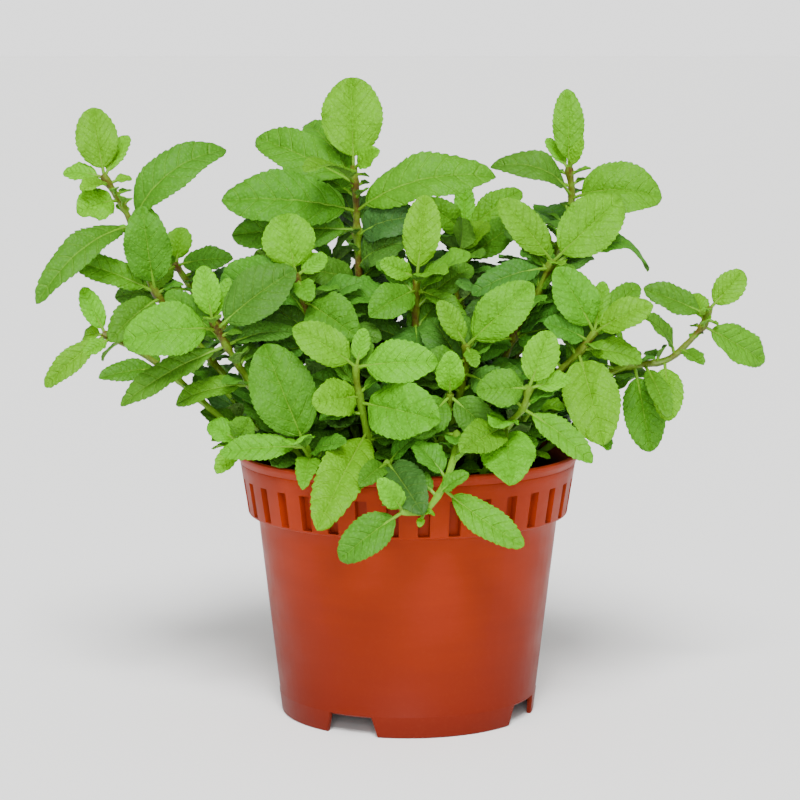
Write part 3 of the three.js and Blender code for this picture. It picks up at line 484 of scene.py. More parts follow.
@dataclass(frozen=True)
class PeatMix:
    """Damp peat potting mix: near-black crumbs with brown fibres and a few pale grains."""

    dark: str = "15100c"
    brown: str = "33241a"
    grain: str = "8c7f6c"
    ior: float = 1.4
    roughness: float = 0.93
    gloss: float = 0.25
    # Sizes in mm of the crumbs and of the pale grains.
    crumb: float = 3.0
    crumb_height: float = 0.8
    grain_size: float = 2.2

    def material(self) -> Material:
        """Returns the soil's material."""
        material, tree = new_material("damp_peat_mix")
        place = add_node(tree, "TexCoord", {}, "Object")
        crumbs = add_node(
            tree, "TexNoise",
            {"Vector": place, "Scale": 1 / (self.crumb * MM), "Detail": 6.0, "Roughness": 0.7},
        )
        brown = add_node(tree, "MapRange", {0: crumbs, 1: 0.42, 2: 0.72}, interpolation_type="SMOOTHSTEP")
        colour = add_node(
            tree, "Mix", {0: brown, 6: srgb(self.dark), 7: srgb(self.brown)}, 2, data_type="RGBA"
        )
        cells = {"Vector": place, "Scale": 1 / (self.grain_size * MM)}
        draw = add_node(tree, "SeparateXYZ", {0: add_node(tree, "TexVoronoi", cells, "Color")})
        few = add_node(tree, "MapRange", {0: draw, 1: 0.93, 2: 0.96})
        near = add_node(
            tree, "MapRange", {0: add_node(tree, "TexVoronoi", cells), 1: 0.1, 2: 0.35, 3: 1.0, 4: 0.0}
        )
        speck = add_node(tree, "Math", {0: few, 1: near}, operation="MULTIPLY")
        colour = add_node(tree, "Mix", {0: speck, 6: colour, 7: srgb(self.grain)}, 2, data_type="RGBA")
        bump = add_node(
            tree, "Bump", {"Strength": 0.9, "Distance": self.crumb_height * MM, "Height": crumbs}
        )
        soil = add_node(
            tree, "BsdfPrincipled",
            {"Base Color": colour, "Roughness": self.roughness, "IOR": self.ior,
             "Specular IOR Level": self.gloss, "Normal": bump},
        )
        add_node(tree, "OutputMaterial", {"Surface": soil}, None)
        return material


@dataclass(frozen=True)
class PaperFloor:
    """Matt white photographer's paper, with a faint tooth."""

    white: str = "f5f5f4"
    roughness: float = 0.9
    gloss: float = 0.2
    tooth: float = 2.0
    tooth_height: float = 0.1

    def material(self) -> Material:
        """Returns the floor's material."""
        material, tree = new_material("studio_paper")
        place = add_node(tree, "TexCoord", {}, "Object")
        tooth = add_node(tree, "TexNoise", {"Vector": place, "Scale": 1 / (self.tooth * MM), "Detail": 2.0})
        bump = add_node(
            tree, "Bump", {"Strength": 0.03, "Distance": self.tooth_height * MM, "Height": tooth}
        )
        paper = add_node(
            tree, "BsdfPrincipled",
            {"Base Color": srgb(self.white), "Roughness": self.roughness,
             "Specular IOR Level": self.gloss, "Normal": bump},
        )
        add_node(tree, "OutputMaterial", {"Surface": paper}, None)
        return material


# ---------------- the mint's leaves and stems, placed


@dataclass(frozen=True)
class Leaf:
    """A leaf of a shoot that is seen from the front.

    It joins its stem at `place`, counted in points along the stem, runs to `tip` and is `width` wide.
    `tilt` is 0 where its upper face looks up and 90 where it looks to the front, and `arch` is how far
    its middle stands off the straight line to the tip. A tone above 0 darkens the leaf as painted shade,
    and one below 0 lightens it as painted light and makes it look younger.
    """

    place: float
    tip: Point
    width: float
    tilt: float
    arch: float = 2.0
    tone: float = 0.0


@dataclass(frozen=True)
class Shoot:
    """A stem through given points, and its leaves."""

    name: str
    stem: list[Point]
    leaves: list[Leaf]


@dataclass(frozen=True)
class GrownShoot:
    """A shoot that grows by rule.

    It leaves the soil `root` mm from the middle, leans out to `reach` at `height`, and stands at
    `azimuth` degrees, where 0 is to the right and 90 straight back.
    """

    name: str
    azimuth: float
    root: float
    reach: float
    height: float


FRONT_SHOOTS = [
    Shoot("far_left_top", [
        (-36, 8, 97), (-58, 5, 118), (-82, 0, 147), (-102, -6, 173), (-107, -6, 190), (-114, -4, 206),
        (-122, -4, 219),
    ], [
        Leaf(6, (-127, -2, 247), 17, 80),
        Leaf(6, (-113, 3, 236), 8, 60),
        Leaf(6, (-139, -5, 221), 8, 55),
        Leaf(5.8, (-130, -17, 215), 8, 40),
        Leaf(5.3, (-132, -14, 206), 16, 60),
        Leaf(4.6, (-74, -2, 231), 19, 50, 12),
        Leaf(4.6, (-147, -30, 172), 14, 52, 10, 0.12),
        Leaf(3, (-106, -6, 208), 19, 80, 3),
        Leaf(3, (-137, -8, 186), 12, 60, 4),
        Leaf(2.9, (-119, -22, 155), 14, 60, 4),
    ]),
    Shoot("behind_left", [(-28, 24, 97), (-50, 28, 122), (-74, 32, 150), (-90, 35, 170), (-97, 37, 180)], [
        Leaf(4, (-95, 42, 196), 11, 80),
        Leaf(4, (-73, 28, 184), 11, 60),
        Leaf(4, (-109, 26, 171), 10, 60),
        Leaf(3.6, (-110, 46, 186), 9, 60),
        Leaf(3, (-66, 42, 172), 13, 50, 3),
    ]),
    Shoot("left_middle", [
        (-34, -26, 97), (-48, -33, 116), (-62, -41, 140), (-71, -45, 156), (-76, -46, 165),
    ], [
        Leaf(4, (-80, -44, 187), 11, 85),
        Leaf(4, (-70, -42, 182), 6, 70, 1),
        Leaf(3.7, (-110, -55, 159), 22, 66, 6),
        Leaf(3.7, (-44, -50, 186), 20, 66, 4, 0.05),
        Leaf(3, (-113, -46, 133), 12, 50, 3),
        Leaf(3, (-44, -40, 161), 11, 40, 3),
        Leaf(2, (-92, -36, 132), 12, 40, 3),
    ]),
    Shoot("far_left_low", [
        (-42, -10, 97), (-68, -13, 116), (-92, -15, 138), (-108, -16, 150), (-121, -18, 157),
    ], [
        Leaf(4, (-130, -17, 176), 9, 75),
        Leaf(3.8, (-129, -27, 150), 7, 50, 1),
        Leaf(4, (-145, -24, 137), 10, 65, 3),
        Leaf(3.6, (-124, -8, 146), 5, 30, 1),
        Leaf(3, (-113, -4, 165), 8, 60),
        Leaf(2.4, (-123, -26, 141), 10, 50),
    ]),
    Shoot("tall_middle", [
        (-10, 6, 97), (-15, 4, 130), (-19, 3, 165), (-20.5, 4, 193), (-21, 5, 208), (-22, 6, 222),
    ], [
        Leaf(5, (-23, 13, 259), 25, 84, 2, -0.12),
        Leaf(3.8, (35, -2, 220), 21, 55, 11, -0.08),
        Leaf(3.8, (-75, -4, 210), 24, 58, 5),
        Leaf(4.6, (-63, 26, 235), 19, 60),
        Leaf(4.6, (-40, -27, 224), 15, 25, 4),
        Leaf(4.7, (-42, 36, 240), 14, 55, 3),
        Leaf(2.3, (-45, -16, 182), 16, 50, 5),
        Leaf(2.6, (1, -12, 194), 20, 50, 5),
        Leaf(3.3, (-72, 10, 195), 21, 60, 3),
    ]),
    Shoot("centre_left", [
        (-22, -16, 97), (-29, -22, 125), (-36, -28, 153), (-41, -32, 172), (-44, -34, 182),
    ], [
        Leaf(4, (-49, -28, 206), 21, 78, 3),
        Leaf(4, (-75, -41, 177), 19, 66, 4),
        Leaf(4, (-32, -34, 190), 8, 70, 1),
        Leaf(3.8, (-38, -48, 174), 9, 60),
        Leaf(3, (-20, -50, 160), 19, 72, 3),
        Leaf(2, (-62, -30, 146), 13, 40, 4),
    ]),
    Shoot("centre_upright", [(2, -10, 97), (3, -16, 125), (3, -20, 152), (3, -22, 168), (3.5, -22, 180)], [
        Leaf(4, (7, -18, 213), 15, 88, 2, -0.15),
        Leaf(4, (-11, -27, 187), 9, 70, 1),
        Leaf(3.6, (-15, -38, 167), 15, 64, 3),
        Leaf(3.6, (23, -30, 165), 8, 40, 3),
        Leaf(2.6, (4, -38, 147), 21, 72, 3, 0.12),
        Leaf(3, (26, -12, 184), 13, 50, 3),
    ]),
    Shoot("behind_right", [(14, 22, 97), (18, 30, 130), (22, 38, 160), (24, 42, 180), (24, 44, 192)], [
        Leaf(4, (48, 48, 211), 13, 60, 4),
        Leaf(4, (6, 36, 207), 13, 60, 3),
        Leaf(3, (50, 32, 200), 16, 50, 3),
        Leaf(4, (24, 50, 214), 9, 80, 1),
        Leaf(3, (4, 52, 176), 13, 50, 3),
    ]),
    Shoot("right_top", [
        (24, 8, 97), (36, 9, 125), (50, 12, 158), (62, 14, 190), (67, 15, 208), (66, 15, 221),
    ], [
        Leaf(5, (65, 18, 254), 13, 75),
        Leaf(5, (57, 16, 234), 6, 60, 1),
        Leaf(4.2, (34, 10, 223), 14, 50, 10),
        Leaf(4.1, (103, 6, 211), 24, 62, 8),
        Leaf(5, (71, 12, 234), 5, 60, 1),
        Leaf(3, (40, 24, 196), 13, 50, 3),
    ]),
    Shoot("right_middle", [
        (22, -10, 97), (31, -14, 125), (42, -21, 156), (49, -25, 169), (54, -28, 181), (57, -29, 187),
    ], [
        Leaf(5, (84, -26, 212), 22, 72, 4, -0.06),
        Leaf(5, (36, -32, 212), 14, 70, 3),
        Leaf(4.6, (25, -38, 176), 12, 50, 4),
        Leaf(4.7, (97, -20, 183), 15, 34, 13),
        Leaf(2, (80, -18, 160), 13, 40, 4),
        Leaf(2, (24, -36, 150), 14, 50, 3),
    ]),
    Shoot("centre_right", [
        (12, -26, 97), (17, -35, 120), (21, -43, 140), (22.5, -48, 150), (22.5, -50, 156),
    ], [
        Leaf(4, (48, -56, 181), 18, 72, 3),
        Leaf(4, (12, -51, 174), 9, 72),
        Leaf(3, (5, -59, 150), 12, 60),
        Leaf(4, (26, -62, 150), 6, 50, 1),
        Leaf(2.5, (46, -62, 135), 15, 64, 3),
    ]),
    Shoot("right_cluster", [
        (30, -22, 97), (42, -28, 118), (56, -34, 140), (67, -37, 152), (73, -38, 160),
    ], [
        Leaf(4, (58, -42, 186), 17, 70, 3),
        Leaf(4, (95, -44, 172), 13, 60, 3),
        Leaf(4, (77, -34, 180), 8, 60),
        Leaf(3.6, (53, -48, 165), 12, 55),
        Leaf(3.2, (92, -38, 149), 12, 50, 3),
        Leaf(3, (75, -62, 120), 22, 76, 3, -0.18),
        Leaf(3.4, (92, -20, 178), 12, 60, 3),
    ]),
    Shoot("far_right", [
        (38, 2, 97), (60, -3, 124), (84, -5, 141), (104, -6, 145), (114, -6, 153), (120, -5, 160),
        (122, -5, 166),
    ], [
        Leaf(6, (136, -2, 181), 12, 75),
        Leaf(5.6, (95, -9, 175), 12, 60, 1),
        Leaf(4.9, (147, 8, 143), 15, 66, 1),
        Leaf(3.4, (94, -16, 165), 9, 40, 3),
        Leaf(3, (105, -16, 122), 13, 72, 2, -0.15),
        Leaf(2.4, (98, -26, 109), 17, 72, 2, -0.15),
        Leaf(2.6, (103, -34, 126), 9, 20),
        Leaf(3.6, (118, -20, 146), 7, 40, 1),
    ]),
    Shoot("front_right", [(26, -40, 97), (34, -52, 114), (38, -60, 126), (44, -66, 134), (46, -68, 142)], [
        Leaf(4, (54, -66, 164), 14, 80),
        Leaf(4, (26, -75, 142), 15, 70, 3),
        Leaf(3, (70, -77, 115), 11, 55, 3),
        Leaf(2, (38, -86, 108), 21, 74),
        Leaf(2, (20, -76, 122), 14, 66),
        Leaf(4, (62, -70, 146), 8, 60, 1),
    ]),
    Shoot("front_centre", [
        (-12, -34, 97), (-15, -44, 115), (-18, -52, 132), (-20, -57, 144), (-20, -58, 149),
    ], [
        Leaf(4, (-17, -56, 164), 7, 80, 1),
        Leaf(4, (-44, -62, 165), 15, 68, 3),
        Leaf(4, (11, -66, 152), 17, 70, 4),
        Leaf(2.4, (-36, -70, 137), 16, 70),
        Leaf(2.2, (12, -78, 131), 23, 74, 3),
        Leaf(1.4, (-34, -92, 93), 19, 66, 4, -0.32),
    ]),
    Shoot("front_left", [(-30, -38, 97), (-36, -46, 108), (-40, -53, 117)], [
        Leaf(2, (-56, -48, 157), 25, 76, 4, -0.15),
        Leaf(2, (-73, -54, 115), 11, 60, 3),
        Leaf(1.6, (-24, -66, 122), 9, 50),
        Leaf(1.4, (-40, -81, 107), 9, 60, 4),
    ]),
    Shoot("rim_left", [(-48, -22, 97), (-57, -31, 111), (-66, -39, 116)], [
        Leaf(2, (-75, -48, 106), 8, 60),
        Leaf(2, (-79, -36, 124), 10, 60),
        Leaf(2, (-62, -50, 128), 12, 60),
    ]),
    Shoot("rim_front", [(-3, -44, 97), (-5, -54, 106), (-8, -62, 112)], [
        Leaf(2, (5, -86, 99), 17, 70, 4),
        Leaf(2, (-18, -84, 108), 9, 60),
        Leaf(1, (16, -64, 106), 9, 40),
    ]),
    Shoot("trailing", [
        (14, -44, 97), (17, -56, 116), (18.5, -64, 124), (18.5, -72, 121), (16, -79, 113), (13, -82, 106),
        (6, -88, 98), (-2, -91, 98.5),
    ], [
        Leaf(5, (44, -87, 85), 13, 60, -4, -0.05),
        Leaf(7, (-26, -95, 81), 15, 64, 3, 0.25),
        Leaf(7, (-11, -99, 112), 9, 70),
        Leaf(6, (4, -92, 93), 3, 40, 0.5),
    ]),
    Shoot("front_low_right", [(8, -36, 97), (12, -48, 116), (15, -56, 130), (16, -60, 138)], [
        Leaf(3, (2, -74, 124), 15, 66),
        Leaf(3, (32, -76, 124), 14, 66),
        Leaf(3, (16, -64, 156), 11, 76),
    ]),
]

# Leaves that fill gaps between those above, under the name of the shoot that they grow on.
GAP_LEAVES = {
    "tall_middle": [
        Leaf(3.1, (4, -4, 204), 19, 55, 4, 0.15),
        Leaf(4.2, (-38, 20, 218), 16, 60, 3),
        Leaf(5, (-12, 6, 230), 9, 60, 1, -0.1),
        Leaf(2.6, (-5, 12, 199), 16, 50, 3, 0.2),
        Leaf(3.5, (-31, 26, 217), 14, 62, 2, 0.1),
        Leaf(3.2, (-30, 27, 200), 14, 50, 2, 0.15),
        Leaf(3.2, (-12, 8, 200), 14, 70, 2, 0.15),
        Leaf(2.3, (-9, 22, 187), 12, 60, 2, 0.2),
    ],
    "behind_left": [Leaf(3, (-122, 25, 168), 15, 55, 3, 0.2)],
    "left_middle": [Leaf(3, (-95, -36, 176), 12, 60, 3, 0.1)],
    "right_cluster": [Leaf(3, (83, -28, 165), 13, 55, 2, 0.1)],
    "far_left_low": [Leaf(4, (-131, -14, 156), 8, 60, 1)],
    "far_right": [Leaf(5, (117, -2, 172), 8, 50, 1)],
}

GROWN_SHOOTS = [
    GrownShoot("rim_back_right", 48, 52, 74, 122),
    GrownShoot("rim_back", 96, 52, 76, 124),
    GrownShoot("rim_back_left", 140, 52, 74, 122),
    GrownShoot("inner_right", 40, 16, 28, 186),
    GrownShoot("inner_left", 150, 20, 36, 182),
    GrownShoot("back_right_side", 14, 44, 88, 138),
    GrownShoot("back_right_low", 36, 44, 98, 152),
    GrownShoot("back_middle_right_low", 64, 42, 86, 148),
    GrownShoot("back_middle_low", 86, 42, 84, 158),
    GrownShoot("back_middle_left_low", 112, 42, 86, 150),
    GrownShoot("back_left_low", 132, 44, 98, 158),
    GrownShoot("back_left_side", 156, 46, 92, 142),
    GrownShoot("back_right_high", 30, 30, 60, 178),
    GrownShoot("back_middle_right_high", 70, 30, 62, 186),
    GrownShoot("back_middle_left_high", 110, 30, 60, 182),
    GrownShoot("back_left_high", 146, 34, 64, 172),
]


def clamp(value: float, low: float, high: float) -> float:
    """Returns the value kept between two limits."""
    return max(low, min(high, value))


def part_of(value: float, start: float, end: float) -> float:
    """Returns how far a value is on the way from start to end, from 0 to 1."""
    return clamp((value - start) / (end - start), 0, 1)


def heading(turn: float, rise: float) -> np.ndarray:
    """Returns the direction at these angles, in radians, round from the right and up from level."""
    flat = math.cos(rise)
    return np.array([math.cos(turn) * flat, math.sin(turn) * flat, math.sin(rise)])


def length_of(vector: np.ndarray) -> float:
    """Returns a vector's length."""
    return math.sqrt(float(vector @ vector))


def unit(vector: np.ndarray) -> np.ndarray:
    """Returns a vector's direction."""
    return vector / length_of(vector)


def along(points: np.ndarray, place: float) -> np.ndarray:
    """Returns the point at `place` along a list of points, with the fraction counted between two."""
    index = min(int(place), len(points) - 2)
    return points[index] + (points[index + 1] - points[index]) * (place - index)


class Chance:
    """A small generator that gives the same numbers everywhere, from 0 up to 1."""

    def __init__(self, seed: int) -> None:
        """Starts the generator at a seed."""
        self.state = seed

    def draw(self) -> float:
        """Returns the next number."""
        self.state = (self.state * 1664525 + 1013904223) % 4294967296
        return self.state / 4294967296


@dataclass
class Blade:
    """A leaf's blade. Its middle line arches, and its halves fold up from that line."""

    owner: str
    base: np.ndarray
    tip: np.ndarray
    width: float
    face: np.ndarray
    arch: float
    # Painted shade above 0, painted light below it.
    tone: float = 0.0
    fold: float = 0.16
    stalk_share: float = 0.14
    stalk_limits: Range = (3.0, 5.0)
    outline_skew: float = 0.88
    outline_power: float = 0.6
    least_half: float = 0.8
    check_shares: tuple[float, ...] = (0.08, 0.24, 0.38, 0.52, 0.66, 0.8, 0.92, 1.0)

    def __post_init__(self) -> None:
        """Works out the blade's own directions and the points that it is checked at."""
        self.shade = 0.0
        run = self.tip - self.base
        self.length = length_of(run)
        self.along = run / self.length
        self.up = unit(self.face - self.along * float(self.face @ self.along))
        self.across = np.cross(self.along, self.up)
        self.stalk = clamp(self.stalk_share * self.length, *self.stalk_limits) / self.length
        self.centre = (self.base + self.tip) / 2
        self.reach = math.hypot(self.length / 2, self.width / 2) + abs(self.arch)
        shares = np.repeat(np.array(self.check_shares), 3)
        sides = np.tile(np.array([-1.0, 0.0, 1.0]), len(self.check_shares))
        self.marks = self.surface(shares, sides * self.half_width(shares))

    def half_width(self, share: np.ndarray) -> np.ndarray:
        """Returns half the blade's width at a share of the way to the tip."""
        blade = (share - self.stalk) / (1 - self.stalk)
        inside = (blade > 0) & (blade < 1)
        safe = np.where(inside, blade, 0.5)
        arc = np.sin(math.pi * safe**self.outline_skew)
        return np.where(inside, 0.5 * self.width * arc**self.outline_power, 0.0)

    def rise(self, share: np.ndarray, sideways: np.ndarray) -> np.ndarray:
        """Returns how far the arched and folded surface stands off the straight line to the tip."""
        return 4 * self.arch * share * (1 - share) + self.fold * np.abs(sideways)

    def surface(
        self, share: np.ndarray, sideways: np.ndarray, lift: np.ndarray | float = 0.0
    ) -> np.ndarray:
        """Gives points of the blade's middle surface.

        Args:
            share: Shares of the way to the tip.
            sideways: Distances from the middle line, in mm.
            lift: How far above the surface the points lie, in mm.

        Returns:
            One point for each share.
        """
        return (
            self.base
            + np.multiply.outer(self.length * share, self.along)
            + np.multiply.outer(sideways, self.across)
            + np.multiply.outer(self.rise(share, sideways) + lift, self.up)
        )

    def measure(self, points: np.ndarray) -> tuple[np.ndarray, np.ndarray, np.ndarray]:
        """Says how far points stand off the blade, and where on it that is.

        Args:
            points: Points in a row each.

        Returns:
            Their gaps, their shares of the way to the tip and their distances from the middle line.
        """
        offset = points - self.base
        share = offset @ self.along / self.length
        sideways = offset @ self.across
        return offset @ self.up - self.rise(share, sideways), share, sideways

    def holds(self, share: np.ndarray, sideways: np.ndarray, margin: float) -> np.ndarray:
        """Says which places lie on the blade or within a margin of it."""
        inside = (share >= -margin / self.length) & (share <= 1 + margin / self.length)
        half = np.maximum(self.half_width(np.clip(share, 0, 1)), self.least_half)
        return inside & (np.abs(sideways) <= half + margin)

    def passed_by(self, marks: tuple, start: np.ndarray, end: np.ndarray, margin: float) -> np.ndarray:
        """Says which lines between measured points go through the blade.

        Args:
            marks: What measure gave for the points.
            start: The numbers of the lines' first points.
            end: The numbers of their last points.
            margin: How far past the blade's edge still counts.

        Returns:
            True for each line that goes through.
        """
        gap, share, sideways = marks
        opposite = gap[start] * gap[end] < 0
        spread = np.where(opposite, gap[start] - gap[end], 1.0)
        part = gap[start] / spread
        at_share = share[start] + (share[end] - share[start]) * part
        at_side = sideways[start] + (sideways[end] - sideways[start]) * part
        return opposite & self.holds(at_share, at_side, margin)


@dataclass(frozen=True)
class Looseness:
    """How freely a leaf turns and rises, in degrees, and how each new try loosens and shortens it."""

    turn: float
    more_turn: float
    rise: float
    more_rise: float
    shrink: float


@dataclass
class MintClump:
    """The whole plant: every shoot's stem, and its leaves placed one after another clear of the rest."""

    seed: int = 20413
    tries: int = 10
    golden_angle: float = 137.5
    # Shoots that grow by rule, with the limits that their leaves keep to.
    stem_start: float = 97.0
    stem_points: int = 5
    bend_out: float = 0.72
    bend_up: float = 0.38
    pair_spacing: float = 24.0
    lowest_pair: float = 0.42
    lowest_rise: float = 4.0
    rise_gain: float = 30.0
    leaf_length: float = 40.0
    top_length: float = 21.0
    grown_looseness: Looseness = Looseness(16, 8, 14, 7, 0.045)
    grown_reach: float = 130.0
    back_reach: float = 100.0
    # The turn, the rise and the length of the two small leaves at such a shoot's top.
    tip_leaves: tuple[Point, ...] = ((60, 62, 19), (240, 66, 17))
    # Older leaves low on the front shoots. Their places are counted in points along the stem.
    fill_length: float = 30.0
    fill_rise: float = 16.0
    fill_reach: float = 74.0
    fill_start: float = 0.8
    fill_spacing: float = 1.25
    fill_end: float = 1.2
    # Small leaves in the axils. Over these ranges of radius and height the large leaves of the clump's
    # inside turn into them.
    axil_spacing: float = 9.5
    axil_stretch: Range = (0.14, 0.97)
    axil_looseness: Looseness = Looseness(12, 12, 16, 4, 0.05)
    axil_length: float = 9.0
    axil_rise: float = 26.0
    inner_length: float = 32.0
    open_radius: Range = (45.0, 105.0)
    open_height: Range = (165.0, 195.0)
    # A leaf is in full shade where this many others stand outside it, and that shade is painted into its
    # colour. Its shade grows from nothing to full over this range of distances from the heart.
    heart: Point = (0.0, 10.0, 112.0)
    shadow_start: float = 3.0
    shadow_radius: float = 19.0
    full_shade: float = 4.0
    shaded_reach: Range = (150.0, 100.0)
    # The room that leaves keep from each other, from stems and from the pot, and how a front leaf that
    # meets something gives way.
    blade_room: float = 1.5
    edge_room: float = 0.9
    pot_room: float = 1.8
    stem_room: float = 2.5
    stem_side_room: float = 2.4
    stem_mark_spacing: float = 4.0
    give_way: tuple[int, ...] = (0, -3, 3, -6, 6, -9, 9, -12, 12, -15, 15, -18, 18)
    blades: list[Blade] = field(default_factory=list)

    def place_leaves(self, pot: "NurseryPot") -> None:
        """Puts every leaf in its place: those seen first, then those behind, then those low inside.

        Args:
            pot: The pot that the leaves stay clear of.
        """
        self.pot = pot
        self.chance = Chance(self.seed)
        self.stems = {plan.name: np.array(plan.stem, float) for plan in FRONT_SHOOTS}
        self.stems |= {plan.name: self.grown_stem(plan) for plan in GROWN_SHOOTS}
        self.measure_stems()
        for plan in FRONT_SHOOTS:
            for leaf in plan.leaves:
                self.blades.append(self.settle(plan.name, leaf))
        for plan in GROWN_SHOOTS:
            self.grow_pairs(plan)
        for plan in FRONT_SHOOTS:
            self.fill(plan.name)

    def grown_stem(self, plan: GrownShoot) -> np.ndarray:
        """Returns the points of a stem that leans out low down and turns up towards its top."""
        azimuth = math.radians(plan.azimuth)
        bend = plan.root + (plan.reach - plan.root) * self.bend_out
        bend_z = self.stem_start + (plan.height - self.stem_start) * self.bend_up
        points = []
        for index in range(self.stem_points):
            t = index / (self.stem_points - 1)
            distance = (1 - t) ** 2 * plan.root + 2 * t * (1 - t) * bend + t * t * plan.reach
            z = (1 - t) ** 2 * self.stem_start + 2 * t * (1 - t) * bend_z + t * t * plan.height
            points.append((math.cos(azimuth) * distance, math.sin(azimuth) * distance, z))
        return np.array(points)

    def measure_stems(self) -> None:
        """Marks every stem with points, so that leaves can be kept clear of them."""
        samples, owners, linked = [], [], []
        for number, points in enumerate(self.stems.values()):
            for start, end in zip(points[:-1], points[1:]):
                steps = max(2, int(length_of(end - start) / self.stem_mark_spacing))
                for step in range(steps + 1):
                    samples.append(start + (end - start) * (step / steps))
                    owners.append(number)
                    linked.append(step > 0)
        self.stem_marks = np.array(samples)
        self.stem_owners = np.array(owners)
        self.stem_links = np.flatnonzero(linked)

    def pierces(self, one: Blade, other: Blade, first: int) -> bool:
        """Says whether a blade, from row `first` on, comes too near another or passes through it."""
        marks = other.measure(one.marks[3 * first :])
        gap, share, sideways = marks
        if np.any((np.abs(gap) < self.blade_room) & other.holds(share, sideways, self.edge_room)):
            return True
        numbers = np.arange(len(gap)).reshape(-1, 3)
        start = np.concatenate([numbers[:-1].ravel(), numbers[:, :2].ravel()])
        end = np.concatenate([numbers[1:].ravel(), numbers[:, 1:].ravel()])
        return bool(np.any(other.passed_by(marks, start, end, self.edge_room)))

    def blades_meet(self, one: Blade, other: Blade) -> bool:
        """Says whether two blades meet, apart from at the stem that they may share."""
        if length_of(one.centre - other.centre) > one.reach + other.reach:
            return False
        first = 1 if one.owner == other.owner else 0
        return self.pierces(one, other, first) or self.pierces(other, one, first)

    def stems_met(self, blade: Blade) -> int:
        """Counts the other shoots' stems that a blade meets."""
        marks = blade.measure(self.stem_marks)
        gap, share, sideways = marks
        hit = (np.abs(gap) < self.stem_room) & blade.holds(share, sideways, self.stem_side_room)
        ends = self.stem_links
        hit[ends] |= blade.passed_by(marks, ends - 1, ends, self.stem_side_room)
        own = list(self.stems).index(blade.owner)
        return len(set(self.stem_owners[hit]) - {own})

    def meets_pot(self, blade: Blade) -> bool:
        """Says whether a blade comes too near the soil or the pot's wall."""
        radius = np.hypot(blade.marks[:, 0], blade.marks[:, 1])
        z = blade.marks[:, 2]
        near = (radius <= self.pot.rim_radius + self.pot_room) & (z <= self.pot.height + self.pot_room)
        in_soil = z < self.pot.soil_top + self.pot_room
        wall = self.pot.inside_radius(np.clip(z, self.pot.soil_top, self.pot.height - 1))
        return bool(np.any(near & (in_soil | (radius > wall - self.pot_room))))

    def thicken(self) -> None:
        """Adds the leaves of the gaps, the small ones of the axils and the shaded ones inside."""
        for name, leaves in GAP_LEAVES.items():
            for leaf in leaves:
                blade = self.settle(name, leaf)
                if self.meetings(blade) == 0:
                    self.blades.append(blade)
        draws = np.random.default_rng(self.seed)
        for name, stem in self.stems.items():
            steps = int(length_of(stem[-1] - stem[0]) / self.axil_spacing)
            turn = draws.uniform(0, 360)
            for share in np.linspace(*self.axil_stretch, max(3, steps)):
                base = along(stem, share * (len(stem) - 1))
                outward = part_of(math.hypot(base[0], base[1]), *self.open_radius)
                away = max(outward, part_of(base[2], *self.open_height))
                size = self.inner_length * (1 - away) + self.axil_length * away
                turn += self.golden_angle
                for side in (0, 180):
                    self.sprout(name, base, turn + side, size * draws.uniform(0.8, 1.15), draws)

    def shade_leaves(self) -> None:
        """Works out how deep in the clump each leaf lies, from how many others stand outside it, as the
        painted shade that darkens its colour.
        """
        centres = np.array([blade.centre for blade in self.blades])
        for blade in self.blades:
            from_heart = blade.centre - np.array(self.heart)
            out = unit(from_heart)
            depth = part_of(length_of(from_heart), *self.shaded_reach)
            offset = centres - blade.centre
            ahead = offset @ out
            aside = np.linalg.norm(offset - np.outer(ahead, out), axis=1)
            cover = np.count_nonzero((ahead > self.shadow_start) & (aside < self.shadow_radius))
            blade.shade = depth * clamp(cover / self.full_shade, 0, 1)

    def sprout(
        self, owner: str, base: np.ndarray, azimuth: float, size: float, draws: np.random.Generator
    ) -> None:
        """Adds one leaf beyond those of the plan, turned and shortened until it is clear.

        Args:
            owner: The shoot's name.
            base: Where it leaves the stem.
            azimuth: The way that it runs, in degrees.
            size: Its length in mm.
            draws: Random numbers.
        """
        loose = self.axil_looseness
        for attempt in range(self.tries):
            turn = azimuth + draws.uniform(-1, 1) * (loose.turn + loose.more_turn * attempt)
            rise = self.axil_rise + draws.uniform(-1, 1) * (loose.rise + loose.more_rise * attempt)
            span = size * (1 - loose.shrink * attempt)
            run = heading(math.radians(turn), math.radians(rise)) * span
            # The upper face looks up, a little aside and more or less to the front.
            face = np.array([draws.uniform(-0.25, 0.25), draws.uniform(-0.7, -0.1), 1.0])
            blade = Blade(owner, base, base + run, span * draws.uniform(0.52, 0.66), face, 0.08 * span)
            if self.meetings(blade) == 0:
                self.blades.append(blade)
                return

    def meetings(self, blade: Blade) -> int:
        """Counts what a blade meets: other blades, other shoots' stems, the pot and the soil."""
        blades = sum(self.blades_meet(blade, other) for other in self.blades)
        return blades + self.stems_met(blade) + self.meets_pot(blade)

    def settle(self, owner: str, leaf: Leaf) -> Blade:
        """Places a front leaf, which gives way to the back or the front until it is clear.

        Args:
            owner: The shoot's name.
            leaf: The leaf's plan.

        Returns:
            The blade where it meets least.
        """
        base = along(self.stems[owner], leaf.place)
        tilt = math.radians(leaf.tilt)
        face = np.array([0.0, -math.sin(tilt), math.cos(tilt)])
        best, fewest = None, math.inf
        for step in self.give_way:
            tip = np.array(leaf.tip, float) + (0.0, step, 0.0)
            blade = Blade(owner, base, tip, leaf.width, face, leaf.arch, leaf.tone)
            count = self.meetings(blade)
            if count < fewest:
                best, fewest = blade, count
            if count == 0:
                break
        return best

